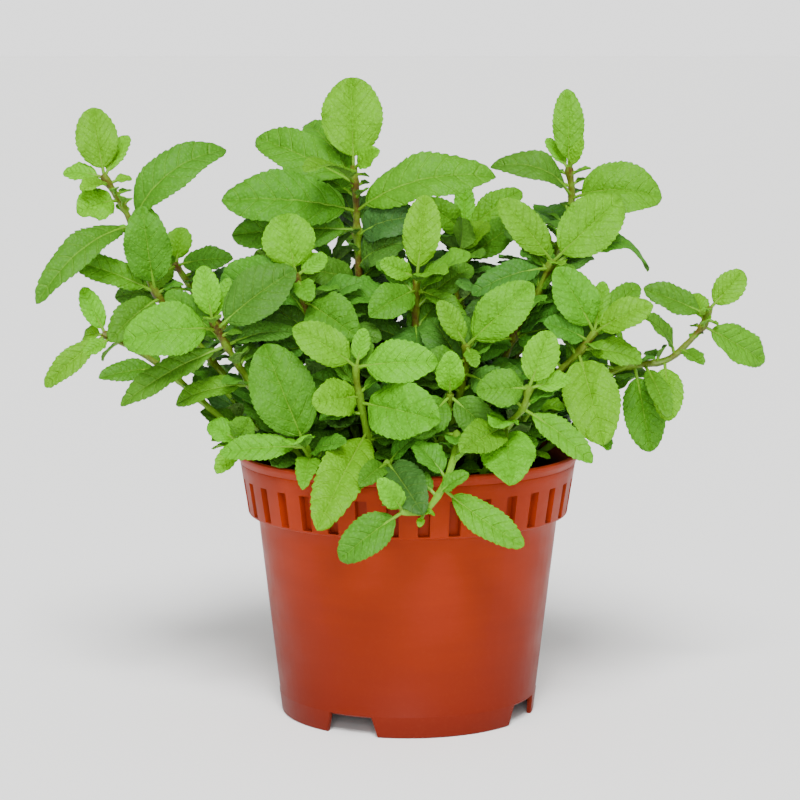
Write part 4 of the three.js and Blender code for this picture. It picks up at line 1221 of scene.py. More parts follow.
    def grow(
        self, owner: str, base: np.ndarray, azimuth: float, elevation: float, size: float, facing: float,
        farthest: float,
    ) -> None:
        """Grows a leaf, turned and shortened until it is clear, or leaves it out.

        Args:
            owner: The shoot's name.
            base: Where it leaves the stem.
            azimuth: The way that it runs, in degrees.
            elevation: How steeply it rises, in degrees.
            size: Its length in mm.
            facing: The way that the shoot leans, in radians.
            farthest: How far from the pot's axis its tip may be.
        """
        loose = self.grown_looseness
        for attempt in range(self.tries):
            turn = azimuth + (self.chance.draw() - 0.5) * (loose.turn + loose.more_turn * attempt)
            rise = elevation + (self.chance.draw() - 0.5) * (loose.rise + loose.more_rise * attempt)
            width = 0.54 + 0.1 * self.chance.draw()
            span = size * (1 - loose.shrink * attempt)
            way = heading(math.radians(turn), math.radians(rise))
            tip = base + way * span
            # The upper face looks up, and out the way that the shoot leans.
            face = np.array([0.45 * math.cos(facing), 0.45 * math.sin(facing), 1 - 0.5 * way[2]])
            blade = Blade(owner, base, tip, width * span, face, 0.09 * span)
            inside = math.hypot(tip[0], tip[1]) <= farthest and tip[1] <= self.back_reach
            if inside and self.meetings(blade) == 0:
                self.blades.append(blade)
                return

    def grow_pairs(self, plan: GrownShoot) -> None:
        """Grows opposite pairs of leaves, each a quarter turn from the last and shorter to the top."""
        stem = self.stems[plan.name]
        facing = math.radians(plan.azimuth)
        top = len(stem) - 1
        pairs = max(1, math.floor(length_of(stem[top] - stem[0]) / self.pair_spacing + 0.5))
        for pair in range(pairs):
            share = self.lowest_pair + (1 - self.lowest_pair) * (1 if pairs == 1 else pair / (pairs - 1))
            quarter = 90 if pair % 2 == 0 else 0
            for side in (0, 180):
                size = self.leaf_length + (self.top_length - self.leaf_length) * share * share
                turn = plan.azimuth + quarter + side
                rise = self.lowest_rise + self.rise_gain * share
                base = along(stem, share * top)
                self.grow(plan.name, base, turn, rise, size, facing, self.grown_reach)
        for turn, rise, size in self.tip_leaves:
            self.grow(plan.name, stem[top], plan.azimuth + turn, rise, size, facing, self.grown_reach)

    def fill(self, name: str) -> None:
        """Grows older leaves low on a front shoot, as the shaded middle of a clump has."""
        stem = self.stems[name]
        azimuth, facing = -90.0, -math.pi / 2
        place = self.fill_start
        while place < len(stem) - 1 - self.fill_end:
            for _ in range(2):
                base = along(stem, place)
                self.grow(name, base, azimuth, self.fill_rise, self.fill_length, facing, self.fill_reach)
                azimuth += self.golden_angle
            place += self.fill_spacing


# ---------------- meshes


def grid_quads(rows: int, columns: int, closed: bool = False, flipped: bool = False) -> np.ndarray:
    """Numbers the quads of a grid of points.

    Args:
        rows: How many rows of points.
        columns: How many points in a row.
        closed: Whether each row's end joins its start.
        flipped: Whether the quads face the other way.

    Returns:
        Four point numbers for each quad.
    """
    numbers = np.arange(rows * columns).reshape(rows, columns)
    if closed:
        numbers = np.concatenate([numbers, numbers[:, :1]], axis=1)
    quads = np.stack([numbers[:-1, :-1], numbers[:-1, 1:], numbers[1:, 1:], numbers[1:, :-1]], axis=-1)
    quads = quads.reshape(-1, 4)
    return quads[:, ::-1] if flipped else quads


def turned(rings: list[np.ndarray], start: float, end: float, flipped: bool = False) -> tuple:
    """Closes rings round the upright axis into a shell.

    Args:
        rings: The rings' points, as many in each.
        start: The height of the middle of the first ring.
        end: The height of the middle of the last one.
        flipped: Whether the faces look the other way.

    Returns:
        The shell's points and faces.
    """
    count = len(rings[0])
    points = np.concatenate([*rings, [[0, 0, start], [0, 0, end]]])
    faces = grid_quads(len(rings), count, closed=True, flipped=flipped).tolist()
    middle = len(points) - 2
    last = middle - count
    for index in range(count):
        following = (index + 1) % count
        one, other = (index, following) if flipped else (following, index)
        faces.append([middle, one, other])
        faces.append([middle + 1, last + other, last + one])
    return points, faces


class PieceMesh:
    """Points, faces, finish numbers and the two sets of leaf coordinates, gathered into one mesh."""

    def __init__(self) -> None:
        """Starts with nothing."""
        self.points: list[np.ndarray] = []
        self.faces: list[list[int]] = []
        self.finishes: list[int] = []
        self.blade: list[np.ndarray] = []
        self.growth: list[np.ndarray] = []
        self.count = 0

    def add(
        self, points: np.ndarray, faces: list, finish: int = 0, blade: np.ndarray | None = None,
        growth: tuple | np.ndarray = (0.0, 0.0),
    ) -> None:
        """Adds a closed shell.

        Args:
            points: Its points in mm.
            faces: Its faces, each a list of numbers of its own points.
            finish: The number of its material.
            blade: For each point, its share of the way along the leaf and its place across it.
            growth: A leaf's age with its painted shade, or a stem's flush, and a chance number, for each
                point or for all.
        """
        total = len(points)
        self.points.append(points)
        self.faces += [[number + self.count for number in face] for face in faces]
        self.finishes += [finish] * len(faces)
        self.blade.append(np.zeros((total, 2)) if blade is None else blade)
        self.growth.append(np.broadcast_to(np.array(growth, float), (total, 2)))
        self.count += total

    def build(self, name: str, materials: list[Material], sharp: float = 40.0) -> Object:
        """Makes the mesh object.

        Args:
            name: The piece's name.
            materials: Its materials, in the order of the finish numbers.
            sharp: Edges that turn by more degrees than this aren't smoothed.

        Returns:
            The object, in the scene.
        """
        mesh = bpy.data.meshes.new(name)
        mesh.from_pydata((np.concatenate(self.points) * MM).tolist(), [], self.faces)
        for material in materials:
            mesh.materials.append(material)
        mesh.polygons.foreach_set("material_index", self.finishes)
        mesh.polygons.foreach_set("use_smooth", [True] * len(self.faces))
        corners = np.empty(len(mesh.loops), dtype=np.int32)
        mesh.loops.foreach_get("vertex_index", corners)
        for layer, values in (("blade", self.blade), ("growth", self.growth)):
            spread = np.concatenate(values)[corners].astype(np.float32)
            mesh.uv_layers.new(name=layer).data.foreach_set("uv", spread.ravel())
        mesh.set_sharp_from_angle(angle=math.radians(sharp))
        mesh.update()
        piece = bpy.data.objects.new(name, mesh)
        bpy.context.scene.collection.objects.link(piece)
        return piece


def smooth_route(points: np.ndarray, spacing: float) -> tuple[np.ndarray, np.ndarray]:
    """Runs a smooth line through a list of points.

    Args:
        points: The points that it passes through.
        spacing: About how far apart its own points are.

    Returns:
        The line's points, and how far along the list each one is, from 0 to 1.
    """
    ends = np.concatenate([2 * points[:1] - points[1:2], points, 2 * points[-1:] - points[-2:-1]])
    line, shares = [], []
    for index in range(len(points) - 1):
        a, b, c, d = ends[index : index + 4]
        steps = max(2, round(length_of(c - b) / spacing))
        for step in range(steps):
            t = step / steps
            square, cube = 2 * a - 5 * b + 4 * c - d, 3 * b - a - 3 * c + d
            line.append(0.5 * (2 * b + (c - a) * t + square * t**2 + cube * t**3))
            shares.append((index + t) / (len(points) - 1))
    line.append(points[-1])
    shares.append(1.0)
    return np.array(line), np.array(shares)


def tube(line: np.ndarray, radii: np.ndarray, across: np.ndarray, sides: int, power: float) -> tuple:
    """Sweeps a rounded square or a circle along a line.

    Args:
        line: The line's points.
        radii: The section's half size at each of them.
        across: The direction that one of its corners points in.
        sides: How many points go round.
        power: 2 for a circle, down towards 1 for a square that stands on its corner.

    Returns:
        The points and the faces of a closed tube.
    """
    angles = np.arange(sides) / sides * 2 * math.pi
    cosine, sine = np.cos(angles), np.sin(angles)
    reach = (np.abs(cosine) ** power + np.abs(sine) ** power) ** (-1 / power)
    rings = []
    for index, (point, radius) in enumerate(zip(line, radii)):
        ahead = line[min(index + 1, len(line) - 1)] - line[max(index - 1, 0)]
        heading = unit(ahead)
        across = unit(across - heading * float(across @ heading))
        up = np.cross(across, heading)
        rings.append(point + radius * (np.outer(cosine * reach, across) - np.outer(sine * reach, up)))
    total = len(line) * sides
    faces = grid_quads(len(line), sides, closed=True).tolist()
    faces.append(list(range(sides))[::-1])
    faces.append(list(range(total - sides, total)))
    return np.concatenate(rings), faces


@dataclass
class LeafyShoot:
    """One mint shoot: a square stem, and stalked leaves with toothed, veined and quilted blades."""

    # The stem's radii at its root and its top, its foot in the soil, and its square section.
    stem_root: float = 1.5
    stem_top: float = 1.0
    stem_foot: float = 88.0
    stem_step: float = 2.0
    stem_sides: int = 12
    past_top: float = 1.2
    node_swelling: float = 0.16
    node_reach: float = 2.2
    section_power: float = 1.4
    # The height that the brown flush starts at, and the height that it takes to be full.
    flush_start: float = 112.0
    flush_rise: float = 45.0
    # The leaf's stalk, which runs on under the blade for a share of it, and lies below its surface.
    stalk_radius: float = 0.64
    stalk_run: float = 0.34
    stalk_sink: float = 0.35
    stalk_sides: int = 8
    stalk_points: int = 9
    # The blade's thickness, and that of the rib along its middle.
    blade_thickness: float = 0.38
    rib_thickness: float = 0.55
    rib_width: float = 0.8
    rib_groove: float = 0.3
    # The blade's outline, with half its least width near its stalk and near its tip.
    outline_skew: float = 0.95
    outline_power: float = 0.52
    least_halves: Range = (0.65, 0.22)
    # The rows below the first tooth, and the teeth, which stand on a stretch of the blade. A tooth's
    # points are shares of its own length and depth, and by chance it moves and changes its size.
    foot_rows: tuple[float, ...] = (0.0, 0.012, 0.035, 0.065)
    toothed_stretch: Range = (0.10, 0.965)
    tooth_spacing: float = 2.7
    tooth_depth: float = 0.22
    tooth_counts: tuple[int, int] = (4, 14)
    tooth_points: tuple[Range, ...] = ((0.0, -0.4), (0.5, 0.28), (0.82, 0.55))
    tooth_shift: float = 0.14
    tooth_sizes: Range = (0.55, 1.25)
    # The blade's relief, in shares of its width or length. It fades where half the blade is narrower
    # than full_relief_half, and the side veins start at a distance from the rib.
    pattern: VeinPattern = VeinPattern()
    vein_clear: float = 1.6
    quilting: float = 0.038
    doming: float = 0.11
    waviness: float = 0.065
    puckering: float = 0.006
    most_curl: float = 0.055
    full_relief_half: float = 3.0
    columns: tuple[float, ...] = (0.0, 0.1, 0.25, 0.42, 0.6, 0.78, 0.91, 1.0)
    # A leaf looks older the longer it is and the lower it grows, and painted shade darkens it the farther
    # back under the clump's top it is and the deeper in shade. The ranges are in mm, and the shares say how
    # much each of the four counts.
    old_length: Range = (14.0, 54.0)
    old_height: Range = (150.0, 40.0)
    shaded_depth: Range = (-15.0, 45.0)
    covered_height: Range = (215.0, 175.0)
    age_shares: tuple[float, float, float, float] = (0.4, 0.12, 0.25, 0.55)

    def dress(self, name: str, stem: np.ndarray, blades: list[Blade], skins: list) -> Object:
        """Builds the shoot as one piece.

        Args:
            name: The shoot's name.
            stem: Its stem's points.
            blades: Its leaves.
            skins: The upper leaf skin, the lower leaf skin and the stem skin.

        Returns:
            The piece.
        """
        draws = np.random.default_rng(sum(map(ord, name)))
        mesh = PieceMesh()
        self.add_stem(mesh, stem, blades)
        for blade in blades:
            self.add_leaf(mesh, blade, draws)
        return mesh.build(f"leafy_shoot_{name}", skins)

    def add_stem(self, mesh: PieceMesh, stem: np.ndarray, blades: list[Blade]) -> None:
        """Adds the stem, a little swollen at each node, with its flush growing towards the top."""
        foot = np.array([stem[0][0], stem[0][1], self.stem_foot])
        end = stem[-1] + unit(stem[-1] - stem[-2]) * self.past_top
        line, shares = smooth_route(np.concatenate([[foot], stem, [end]]), self.stem_step)
        radii = self.stem_root + (self.stem_top - self.stem_root) * np.clip(shares * 1.1, 0, 1)
        for blade in blades:
            nearness = np.linalg.norm(line - blade.base, axis=1) / self.node_reach
            radii = np.maximum(radii, radii * (1 + self.node_swelling * np.exp(-(nearness**2))))
        radii[-1] *= 0.5
        points, faces = tube(line, radii, np.array([1.0, 0.0, 0.0]), self.stem_sides, self.section_power)
        flush = np.clip((line[:, 2] - self.flush_start) / self.flush_rise, 0.05, 1)
        flush = np.repeat(flush, self.stem_sides)
        chance = np.full_like(flush, 0.5)
        mesh.add(points, faces, 2, growth=np.stack([flush, chance], axis=1))

    def rows(self, blade: Blade, draws: np.random.Generator) -> tuple[np.ndarray, np.ndarray]:
        """Sets out the rows of a leaf from its stalk to its tip, three to a tooth.

        Args:
            blade: The leaf's blade.
            draws: The shoot's random numbers.

        Returns:
            For each row, its share of the blade, and how far its left and right edges stand out in mm.
        """
        run = blade.length * (1 - blade.stalk)
        teeth = int(clamp(round(run / self.tooth_spacing), *self.tooth_counts))
        first, last = self.toothed_stretch
        step = (last - first) / teeth
        rise = self.tooth_depth * step * run
        shares = list(self.foot_rows)
        edges = [(0.0, 0.0)] * len(shares)
        for tooth in range(teeth):
            start = first + (tooth + draws.uniform(-self.tooth_shift, self.tooth_shift)) * step
            left, right = rise * draws.uniform(*self.tooth_sizes, 2)
            shares += [start + ahead * step for ahead, _ in self.tooth_points]
            edges += [(out * left, out * right) for _, out in self.tooth_points]
        shares += [last + 0.004, 0.985, 1.0]
        edges += [(-0.2 * rise, -0.2 * rise), (0.0, 0.0), (0.0, 0.0)]
        return np.array(shares), np.array(edges)

    def relief(
        self, blade: Blade, share: np.ndarray, side: np.ndarray, off: np.ndarray, half: np.ndarray,
        draws: np.random.Generator,
    ) -> np.ndarray:
        """Works out how far each point of a leaf stands off its plain arched surface.

        Args:
            blade: The leaf's blade.
            share: Each point's share of the blade.
            side: Its place across, from -1 to 1.
            off: Its distance from the midrib in mm.
            half: Half the blade's width there.
            draws: The shoot's random numbers.

        Returns:
            Heights in mm.
        """
        run = blade.length * (1 - blade.stalk)
        span = np.abs(off) / run
        veins = self.pattern
        phase = veins.pairs * (share - veins.lean * span - veins.bend * span**2)
        pillow = np.abs(np.sin(math.pi * phase)) ** 0.6 * (1 - np.exp(-((off / self.vein_clear) ** 2)))
        quilted = self.quilting * blade.width * pillow * (1 - 0.5 * np.abs(side) ** 3)
        domed = self.doming * blade.width * np.abs(side) * (1 - np.abs(side))
        rounded = blade.fold * (np.sqrt(off**2 + 1.0) - 1.0 - np.abs(off))
        sunk = -self.rib_groove * np.exp(-((off / self.rib_width) ** 2))
        beat, lag = draws.uniform(1.3, 2.2), draws.uniform(0, 1, 2)
        turn = np.where(side < 0, lag[0], lag[1])
        wave = np.sin(2 * math.pi * (beat * share + turn))
        waved = self.waviness * blade.width * np.abs(side) ** 2.5 * wave
        curl = -draws.uniform(0.0, self.most_curl) * blade.length * share**4
        # Four ripples, each with its own way across the blade, length in mm and start.
        puckered = sum(
            np.sin((math.cos(way) * share * run + math.sin(way) * off) * 2 * math.pi / length + start)
            for way, length, start in draws.uniform((0.0, 4.5, 0.0), (3.1, 9.0, 6.3), (4, 3))
        )
        narrow = np.minimum(half / self.full_relief_half, 1.0)
        ruffled = quilted + domed + sunk + waved + self.puckering * blade.width * puckered
        return rounded + curl + narrow * ruffled

    def add_leaf(self, mesh: PieceMesh, blade: Blade, draws: np.random.Generator) -> None:
        """Adds one leaf: a round stalk, and a thin closed blade with a face on each side."""
        row_share, edge = self.rows(blade, draws)
        half_columns = np.array(self.columns)
        side = np.concatenate([-half_columns[:0:-1], half_columns])
        share = blade.stalk + (1 - blade.stalk) * row_share
        arc = np.sin(math.pi * np.clip(row_share, 0, 1) ** self.outline_skew).clip(0)
        least = np.where(row_share < 0.5, *self.least_halves)
        half = np.maximum(0.5 * blade.width * arc**self.outline_power, least)
        off = half[:, None] * side[None, :]
        off[:, 0] -= edge[:, 0]
        off[:, -1] += edge[:, 1]
        shares = np.broadcast_to(row_share[:, None], off.shape)
        halves = np.broadcast_to(half[:, None], off.shape)
        sides = np.broadcast_to(side[None, :], off.shape)
        height = self.relief(blade, shares, sides, off, halves, draws)
        places = np.broadcast_to(share[:, None], off.shape).ravel()
        upper = blade.surface(places, off.ravel(), height.ravel())
        rib = self.rib_thickness * np.exp(-((off / self.rib_width) ** 2)) * (1 - 0.75 * shares)
        thickness = self.blade_thickness * (1 - 0.45 * np.abs(sides) ** 4) + rib
        lower = upper - np.multiply.outer(thickness.ravel(), blade.up)

        run = blade.length * (1 - blade.stalk)
        flat = np.stack([shares.ravel(), 0.5 + off.ravel() / run], axis=1)
        growth = (self.age(blade), float(draws.uniform()))
        rows, columns = off.shape
        total = rows * columns
        numbers = np.arange(total).reshape(rows, columns)
        border = np.concatenate([numbers[0, :-1], numbers[:-1, -1], numbers[-1, :0:-1], numbers[:0:-1, 0]])
        after = np.roll(border, -1)
        margin = np.stack([border, border + total, after + total, after], axis=1)
        top = grid_quads(rows, columns)
        bottom = grid_quads(rows, columns, flipped=True) + total
        start = mesh.count
        mesh.add(
            np.concatenate([upper, lower]), np.concatenate([top, margin]).tolist(), 0,
            np.concatenate([flat, flat]), growth,
        )
        mesh.faces += (bottom + start).tolist()
        mesh.finishes += [1] * len(bottom)
        self.add_stalk(mesh, blade, growth[0])

    def add_stalk(self, mesh: PieceMesh, blade: Blade, age: float) -> None:
        """Adds the leaf's stalk, which runs on under the blade and thins into the midrib."""
        reach = blade.stalk + (1 - blade.stalk) * self.stalk_run
        share = np.linspace(0.02, reach, self.stalk_points)
        under = np.clip((share - blade.stalk) / (reach - blade.stalk), 0, 1)
        line = blade.surface(share, np.zeros_like(share), -self.stalk_sink - self.stalk_sink * under)
        radii = self.stalk_radius * (1.05 - 0.72 * under)
        points, faces = tube(line, radii, blade.across, self.stalk_sides, 2.0)
        mesh.add(points, faces, 2, growth=(0.25 * (1 - age), 0.5))

    def age(self, blade: Blade) -> float:
        """Tells how old a leaf looks, with painted shade added for leaves far back and deep in the clump: 0
        for the small bright ones at a tip, 1 for shaded inner ones.
        """
        _, depth, height = blade.centre
        size = part_of(blade.length, *self.old_length)
        low = part_of(height, *self.old_height)
        # Painted shade: leaves far back under the clump's top and deep in it are coloured darker, and a
        # leaf's own tone adds painted shade above 0 or painted light below it.
        behind = part_of(depth, *self.shaded_depth) * part_of(height, *self.covered_height)
        by_size, by_height, by_depth, by_shade = self.age_shares
        grown = by_size * size + by_height * low + by_depth * behind
        return clamp(grown + by_shade * blade.shade + blade.tone, 0, 1)


# ---------------- pot and soil


class Cut(Enum):
    """What a ring of the pot's wall follows: nothing, the foot's notches or the collar's slots."""

    NONE = "none"
    NOTCHES = "notches"
    SLOTS = "slots"


@dataclass(frozen=True)
class Ring:
    """A ring of the pot's wall, by its radius and height."""

    radius: float
    z: float
    cut: Cut = Cut.NONE


@dataclass
class NurseryPot:
    """A thin-walled moulded nursery pot with a slotted collar, a rolled lip and a notched foot."""

    rim_radius: float = 70.0
    height: float = 108.0
    collar_top: float = 68.7
    collar_foot: float = 65.2
    collar_z: float = 82.6
    lip_z: float = 105.0
    body_top: float = 61.4
    foot_radius: float = 51.8
    base_z: float = 9.0
    wall: float = 1.7
    # Plain rings of the body and of the collar, and the lip's points, in and down from its edge and top.
    body_rings: tuple[float, ...] = (30.0, 55.0, 76.0, 81.6)
    collar_rings: tuple[float, ...] = (100.5, 103.2)
    lip_points: tuple[Range, ...] = (
        (1.0, 3.1), (0.4, 2.3), (0.0, 1.4), (0.15, 0.6), (0.7, 0.1), (1.3, 0.0), (1.9, 0.2), (2.2, 0.8),
    )
    # Slots are set out round slot_circle. A slot's edge slopes over slot_edge on each side of slot_half,
    # and a line of points stands rib_line from its middle.
    slot_count: int = 34
    slot_circle: float = 65.0
    slot_half: float = 2.2
    slot_edge: float = 0.13
    rib_line: float = 2.9
    slot_depth: float = 2.5
    slot_wall: float = 2.6
    slot_foot: float = 83.7
    slot_top: float = 97.5
    notch_angle: float = -26.0
    notch_half_top: float = 9.0
    notch_half_foot: float = 11.25
    notch_height: float = 8.0
    drain_radius: float = 4.5
    drain_ring: float = 36.0
    drain_sides: int = 32
    soil_top: float = 95.8
    sharp_angle: float = 35.0

    def body_radius(self, z: float) -> float:
        """Returns the outside radius of the tapered body."""
        return self.foot_radius + (self.body_top - self.foot_radius) * z / self.collar_z

    def collar_radius(self, z: float) -> float:
        """Returns the outside radius of the collar."""
        part = (z - self.collar_z) / (self.lip_z - self.collar_z)
        return self.collar_foot + (self.collar_top - self.collar_foot) * part

    def inside(self) -> list[tuple[float, float]]:
        """Returns the inside of the wall as points of radius and height, from the base up."""
        behind_slots = self.collar_radius(self.slot_top) - self.slot_wall - self.wall
        return [
            (self.body_radius(self.base_z + self.wall) - self.wall, self.base_z + self.wall),
            (self.body_radius(self.collar_z) - self.wall, self.collar_z - self.wall),
            (behind_slots, self.slot_top + 1),
            (self.rim_radius - self.wall - 0.4, self.height - 0.3),
        ]

    def inside_radius(self, z: np.ndarray | float) -> np.ndarray:
        """Returns the inside radius of the wall at a height."""
        radii, heights = np.array(self.inside()).T
        return np.interp(z, heights, radii)

    def notch_centres(self) -> list[float]:
        """Returns the angles of the four foot notches, which are also those of the drain holes."""
        front = -math.pi / 2 + math.radians(self.notch_angle)
        return [front + index * math.pi / 2 for index in range(4)]

    def profile(self) -> list[Ring]:
        """Returns the section from the middle of the base's underside round to the middle of its top."""
        body, collar = self.body_radius, self.collar_radius
        base, step, lip = self.base_z, self.collar_z, self.lip_z
        foot, top = self.slot_foot, self.slot_top
        return [
            Ring(body(base) - self.wall, base),
            Ring(body(base - 0.4) - self.wall, base - 0.4),
            Ring(body(0) - self.wall, 0.45, Cut.NOTCHES),
            Ring(body(0) - self.wall + 0.4, 0.0, Cut.NOTCHES),
            Ring(body(0) - 0.35, 0.0, Cut.NOTCHES),
            Ring(body(0) + 0.2, 0.5, Cut.NOTCHES),
            Ring(body(base - 0.4) + 0.25, base - 0.4),
            Ring(body(base) + 0.22, base),
            Ring(body(base + 0.5), base + 0.45),
            *[Ring(body(z), z) for z in self.body_rings],
            Ring(body(step - 0.2) + 0.5, step - 0.25),
            Ring(self.collar_foot - 1.0, step - 0.15),
            Ring(self.collar_foot - 0.25, step + 0.1),
            Ring(collar(step + 0.5), step + 0.5),
            Ring(collar(foot - 0.2), foot - 0.15),
            Ring(collar(foot + 0.2), foot + 0.2, Cut.SLOTS),
            Ring(collar(90.0), 90.0, Cut.SLOTS),
            Ring(collar(top - 0.2), top - 0.2, Cut.SLOTS),
            Ring(collar(top + 0.1), top + 0.15),
            *[Ring(collar(z), z) for z in self.collar_rings],
            Ring(collar(lip - 1.4) - 0.25, lip - 1.4),
            Ring(collar(lip - 1.0) + 0.1, lip - 1.0),
            *[Ring(self.rim_radius - inward, self.height - down) for inward, down in self.lip_points],
            Ring(float(self.inside_radius(lip - 2.0)), lip - 2.0),
            *[Ring(radius, z) for radius, z in self.inside()[2::-1]],
        ]

    def angles(self) -> np.ndarray:
        """Returns the angles of the wall's upright lines, close together at slot and notch edges."""
        pitch = 2 * math.pi / self.slot_count
        half, edge = self.slot_half, self.slot_edge
        slot = np.array([-self.rib_line, -half - edge, -half + edge]) / self.slot_circle
        steps = np.concatenate([[-pitch / 2], slot, [0.0], -slot[::-1]])
        angles = (np.arange(self.slot_count)[:, None] * pitch + steps[None, :]).ravel()
        edges = []
        for centre in self.notch_centres():
            for half in (self.notch_half_foot, self.notch_half_top):
                turn = math.asin(half / self.foot_radius)
                edges += [centre - turn, centre + turn]
        edges = np.mod(np.array(edges), 2 * math.pi)
        angles = np.mod(angles, 2 * math.pi)
        kept = [a for a in angles if np.min(np.abs(np.angle(np.exp(1j * (edges - a))))) > 0.0035]
        return np.sort(np.concatenate([kept, edges]))

    def notch_rise(self, angles: np.ndarray) -> np.ndarray:
        """Returns how far the foot's lower edge is cut up at each angle."""
        centres = np.array(self.notch_centres())
        away = np.abs(np.angle(np.exp(1j * (angles[:, None] - centres[None, :])))).min(axis=1)
        outer = math.asin(self.notch_half_foot / self.foot_radius)
        inner = math.asin(self.notch_half_top / self.foot_radius)
        return self.notch_height * np.clip((outer - away) / (outer - inner), 0, 1)

    def slot_share(self, angles: np.ndarray) -> np.ndarray:
        """Returns how deep in a slot each angle is, from 0 on a rib to 1 on a slot's floor."""
        pitch = 2 * math.pi / self.slot_count
        away = np.abs(np.mod(angles + pitch / 2, pitch) - pitch / 2) * self.slot_circle
        return np.clip((self.slot_half + self.slot_edge - away) / (2 * self.slot_edge), 0, 1)

    def build(self, finish: Material) -> Object:
        """Builds the pot by turning its section and cutting the slots, notches and drains."""
        angles = self.angles()
        rise, slots = self.notch_rise(angles), self.slot_share(angles)
        rings = []
        for ring in self.profile():
            radii = np.full_like(angles, ring.radius)
            heights = np.full_like(angles, ring.z)
            if ring.cut is Cut.NOTCHES:
                heights = heights + rise
                radii = radii + (self.body_top - self.foot_radius) * rise / self.collar_z
            if ring.cut is Cut.SLOTS:
                radii = radii - self.slot_depth * slots
            rings.append(np.stack([radii * np.cos(angles), radii * np.sin(angles), heights], axis=1))
        mesh = PieceMesh()
        mesh.add(*turned(rings, self.base_z, self.base_z + self.wall))
        pot = mesh.build("moulded_pot", [finish], self.sharp_angle)
        self.drill_drains(pot)
        return pot

    def drill_drains(self, pot: Object) -> None:
        """Cuts the four drain holes through the base."""
        tool = PieceMesh()
        for angle in self.notch_centres():
            middle = np.array([self.drain_ring * math.cos(angle), self.drain_ring * math.sin(angle), 0.0])
            line = middle + np.array([[0, 0, self.base_z - 2], [0, 0, self.base_z + self.wall + 2]])
            radii = np.full(2, self.drain_radius)
            tool.add(*tube(line, radii, np.array([1.0, 0.0, 0.0]), self.drain_sides, 2.0))
        drill = tool.build("drain_drill", [])
        cut = pot.modifiers.new("drains", "BOOLEAN")
        cut.operation, cut.object, cut.solver = "DIFFERENCE", drill, "EXACT"
        bpy.context.view_layer.update()
        evaluated = pot.evaluated_get(bpy.context.evaluated_depsgraph_get())
        mesh = bpy.data.meshes.new_from_object(evaluated)
        pot.modifiers.clear()
        pot.data = mesh
        mesh.set_sharp_from_angle(angle=math.radians(self.sharp_angle))
        bpy.data.objects.remove(drill)


@dataclass
class PottingSoil:
    """Peat that fills the pot, with a lumpy top and loose crumbs on it."""

    foot: float = 11.0
    gap: float = 0.35
    # The lumps are a fractal with a roughness, a lacunarity and octaves, and are sunk by lump_drop.
    lump_height: float = 2.2
    lump_size: float = 9.0
    lump_form: tuple[float, float, int] = (0.8, 2.1, 5)
    lump_gain: float = 0.55
    lump_drop: float = 0.9
    ring_step: float = 1.3
    spokes: int = 220
    crumbs: int = 420
    crumb_seed: int = 77
    crumb_sizes: Range = (0.5, 1.7)
    crumb_lift: float = 0.25

    def top_at(self, x: float, y: float, level: float) -> float:
        """Returns the height of the soil's lumpy top at a place."""
        place = Vector((x / self.lump_size, y / self.lump_size, 0.3))
        lump = noise.fractal(place, *self.lump_form) * self.lump_gain
        return level - self.lump_drop + self.lump_height * lump

    def build(self, pot: NurseryPot, finish: Material) -> Object:
        """Builds the soil and its crumbs.

        Args:
            pot: The pot that it fills.
            finish: Its material.

        Returns:
            The piece.
        """
        mesh = PieceMesh()
        level = pot.soil_top
        edge = float(pot.inside_radius(level)) - self.gap
        angles = np.arange(self.spokes) / self.spokes * 2 * math.pi
        unit_ring = np.stack([np.cos(angles), np.sin(angles)], axis=1)
        radii = np.append(np.arange(self.ring_step, edge - 0.6, self.ring_step), edge)
        rings = []
        for radius in radii:
            flat = unit_ring * radius
            heights = [self.top_at(x, y, level) for x, y in flat]
            rings.append(np.column_stack([flat, heights]))
        for z in (pot.collar_z - pot.wall, self.foot):
            ring = unit_ring * (float(pot.inside_radius(max(z, pot.base_z + pot.wall))) - self.gap)
            rings.append(np.column_stack([ring, np.full(self.spokes, z)]))
        mesh.add(*turned(rings, self.top_at(0, 0, level), self.foot, flipped=True))
        self.scatter_crumbs(mesh, level, edge)
        return mesh.build("peat_soil", [finish], sharp=60.0)

    def scatter_crumbs(self, mesh: PieceMesh, level: float, edge: float) -> None:
        """Scatters loose crumbs of peat over the top.

        Args:
            mesh: The mesh that gets them.
            level: The soil's level.
            edge: The radius of its top.
        """
        draws = np.random.default_rng(self.crumb_seed)
        golden = (1 + 5**0.5) / 2
        ways = itertools.product((0, 2, 1), (-1, 1), (-1, 1))
        corners = [np.roll((0, a, b * golden), turn) for turn, a, b in ways]
        shape = np.array(corners, float) / math.hypot(1, golden)
        faces = self.hull_faces(shape)
        for _ in range(self.crumbs):
            radius = edge * math.sqrt(draws.uniform(0, 0.94))
            turn = draws.uniform(0, 2 * math.pi)
            x, y = radius * math.cos(turn), radius * math.sin(turn)
            size = draws.uniform(*self.crumb_sizes) * draws.uniform(0.6, 1.0, 3)
            lump = shape * size * draws.uniform(0.75, 1.15, (len(shape), 1))
            mesh.add(lump + (x, y, self.top_at(x, y, level) + self.crumb_lift), faces)

    @staticmethod
    def hull_faces(shape: np.ndarray) -> list[list[int]]:
        """Returns the triangles of a twelve-cornered lump, all facing out."""
        near = 1.1 * min(length_of(shape[0] - other) for other in shape[1:])
        faces = []
        for a, b, c in itertools.combinations(range(len(shape)), 3):
            sides = (shape[a] - shape[b], shape[b] - shape[c], shape[c] - shape[a])
            if max(map(length_of, sides)) < near:
                out = float(np.cross(shape[b] - shape[a], shape[c] - shape[a]) @ shape[a]) > 0
                faces.append([a, b, c] if out else [a, c, b])
        return faces


# ---------------- studio and assembly


class LampKind(Enum):
    """The two kinds of lamp in the studio."""

    SOFTBOX = "AREA"
    SUN = "SUN"


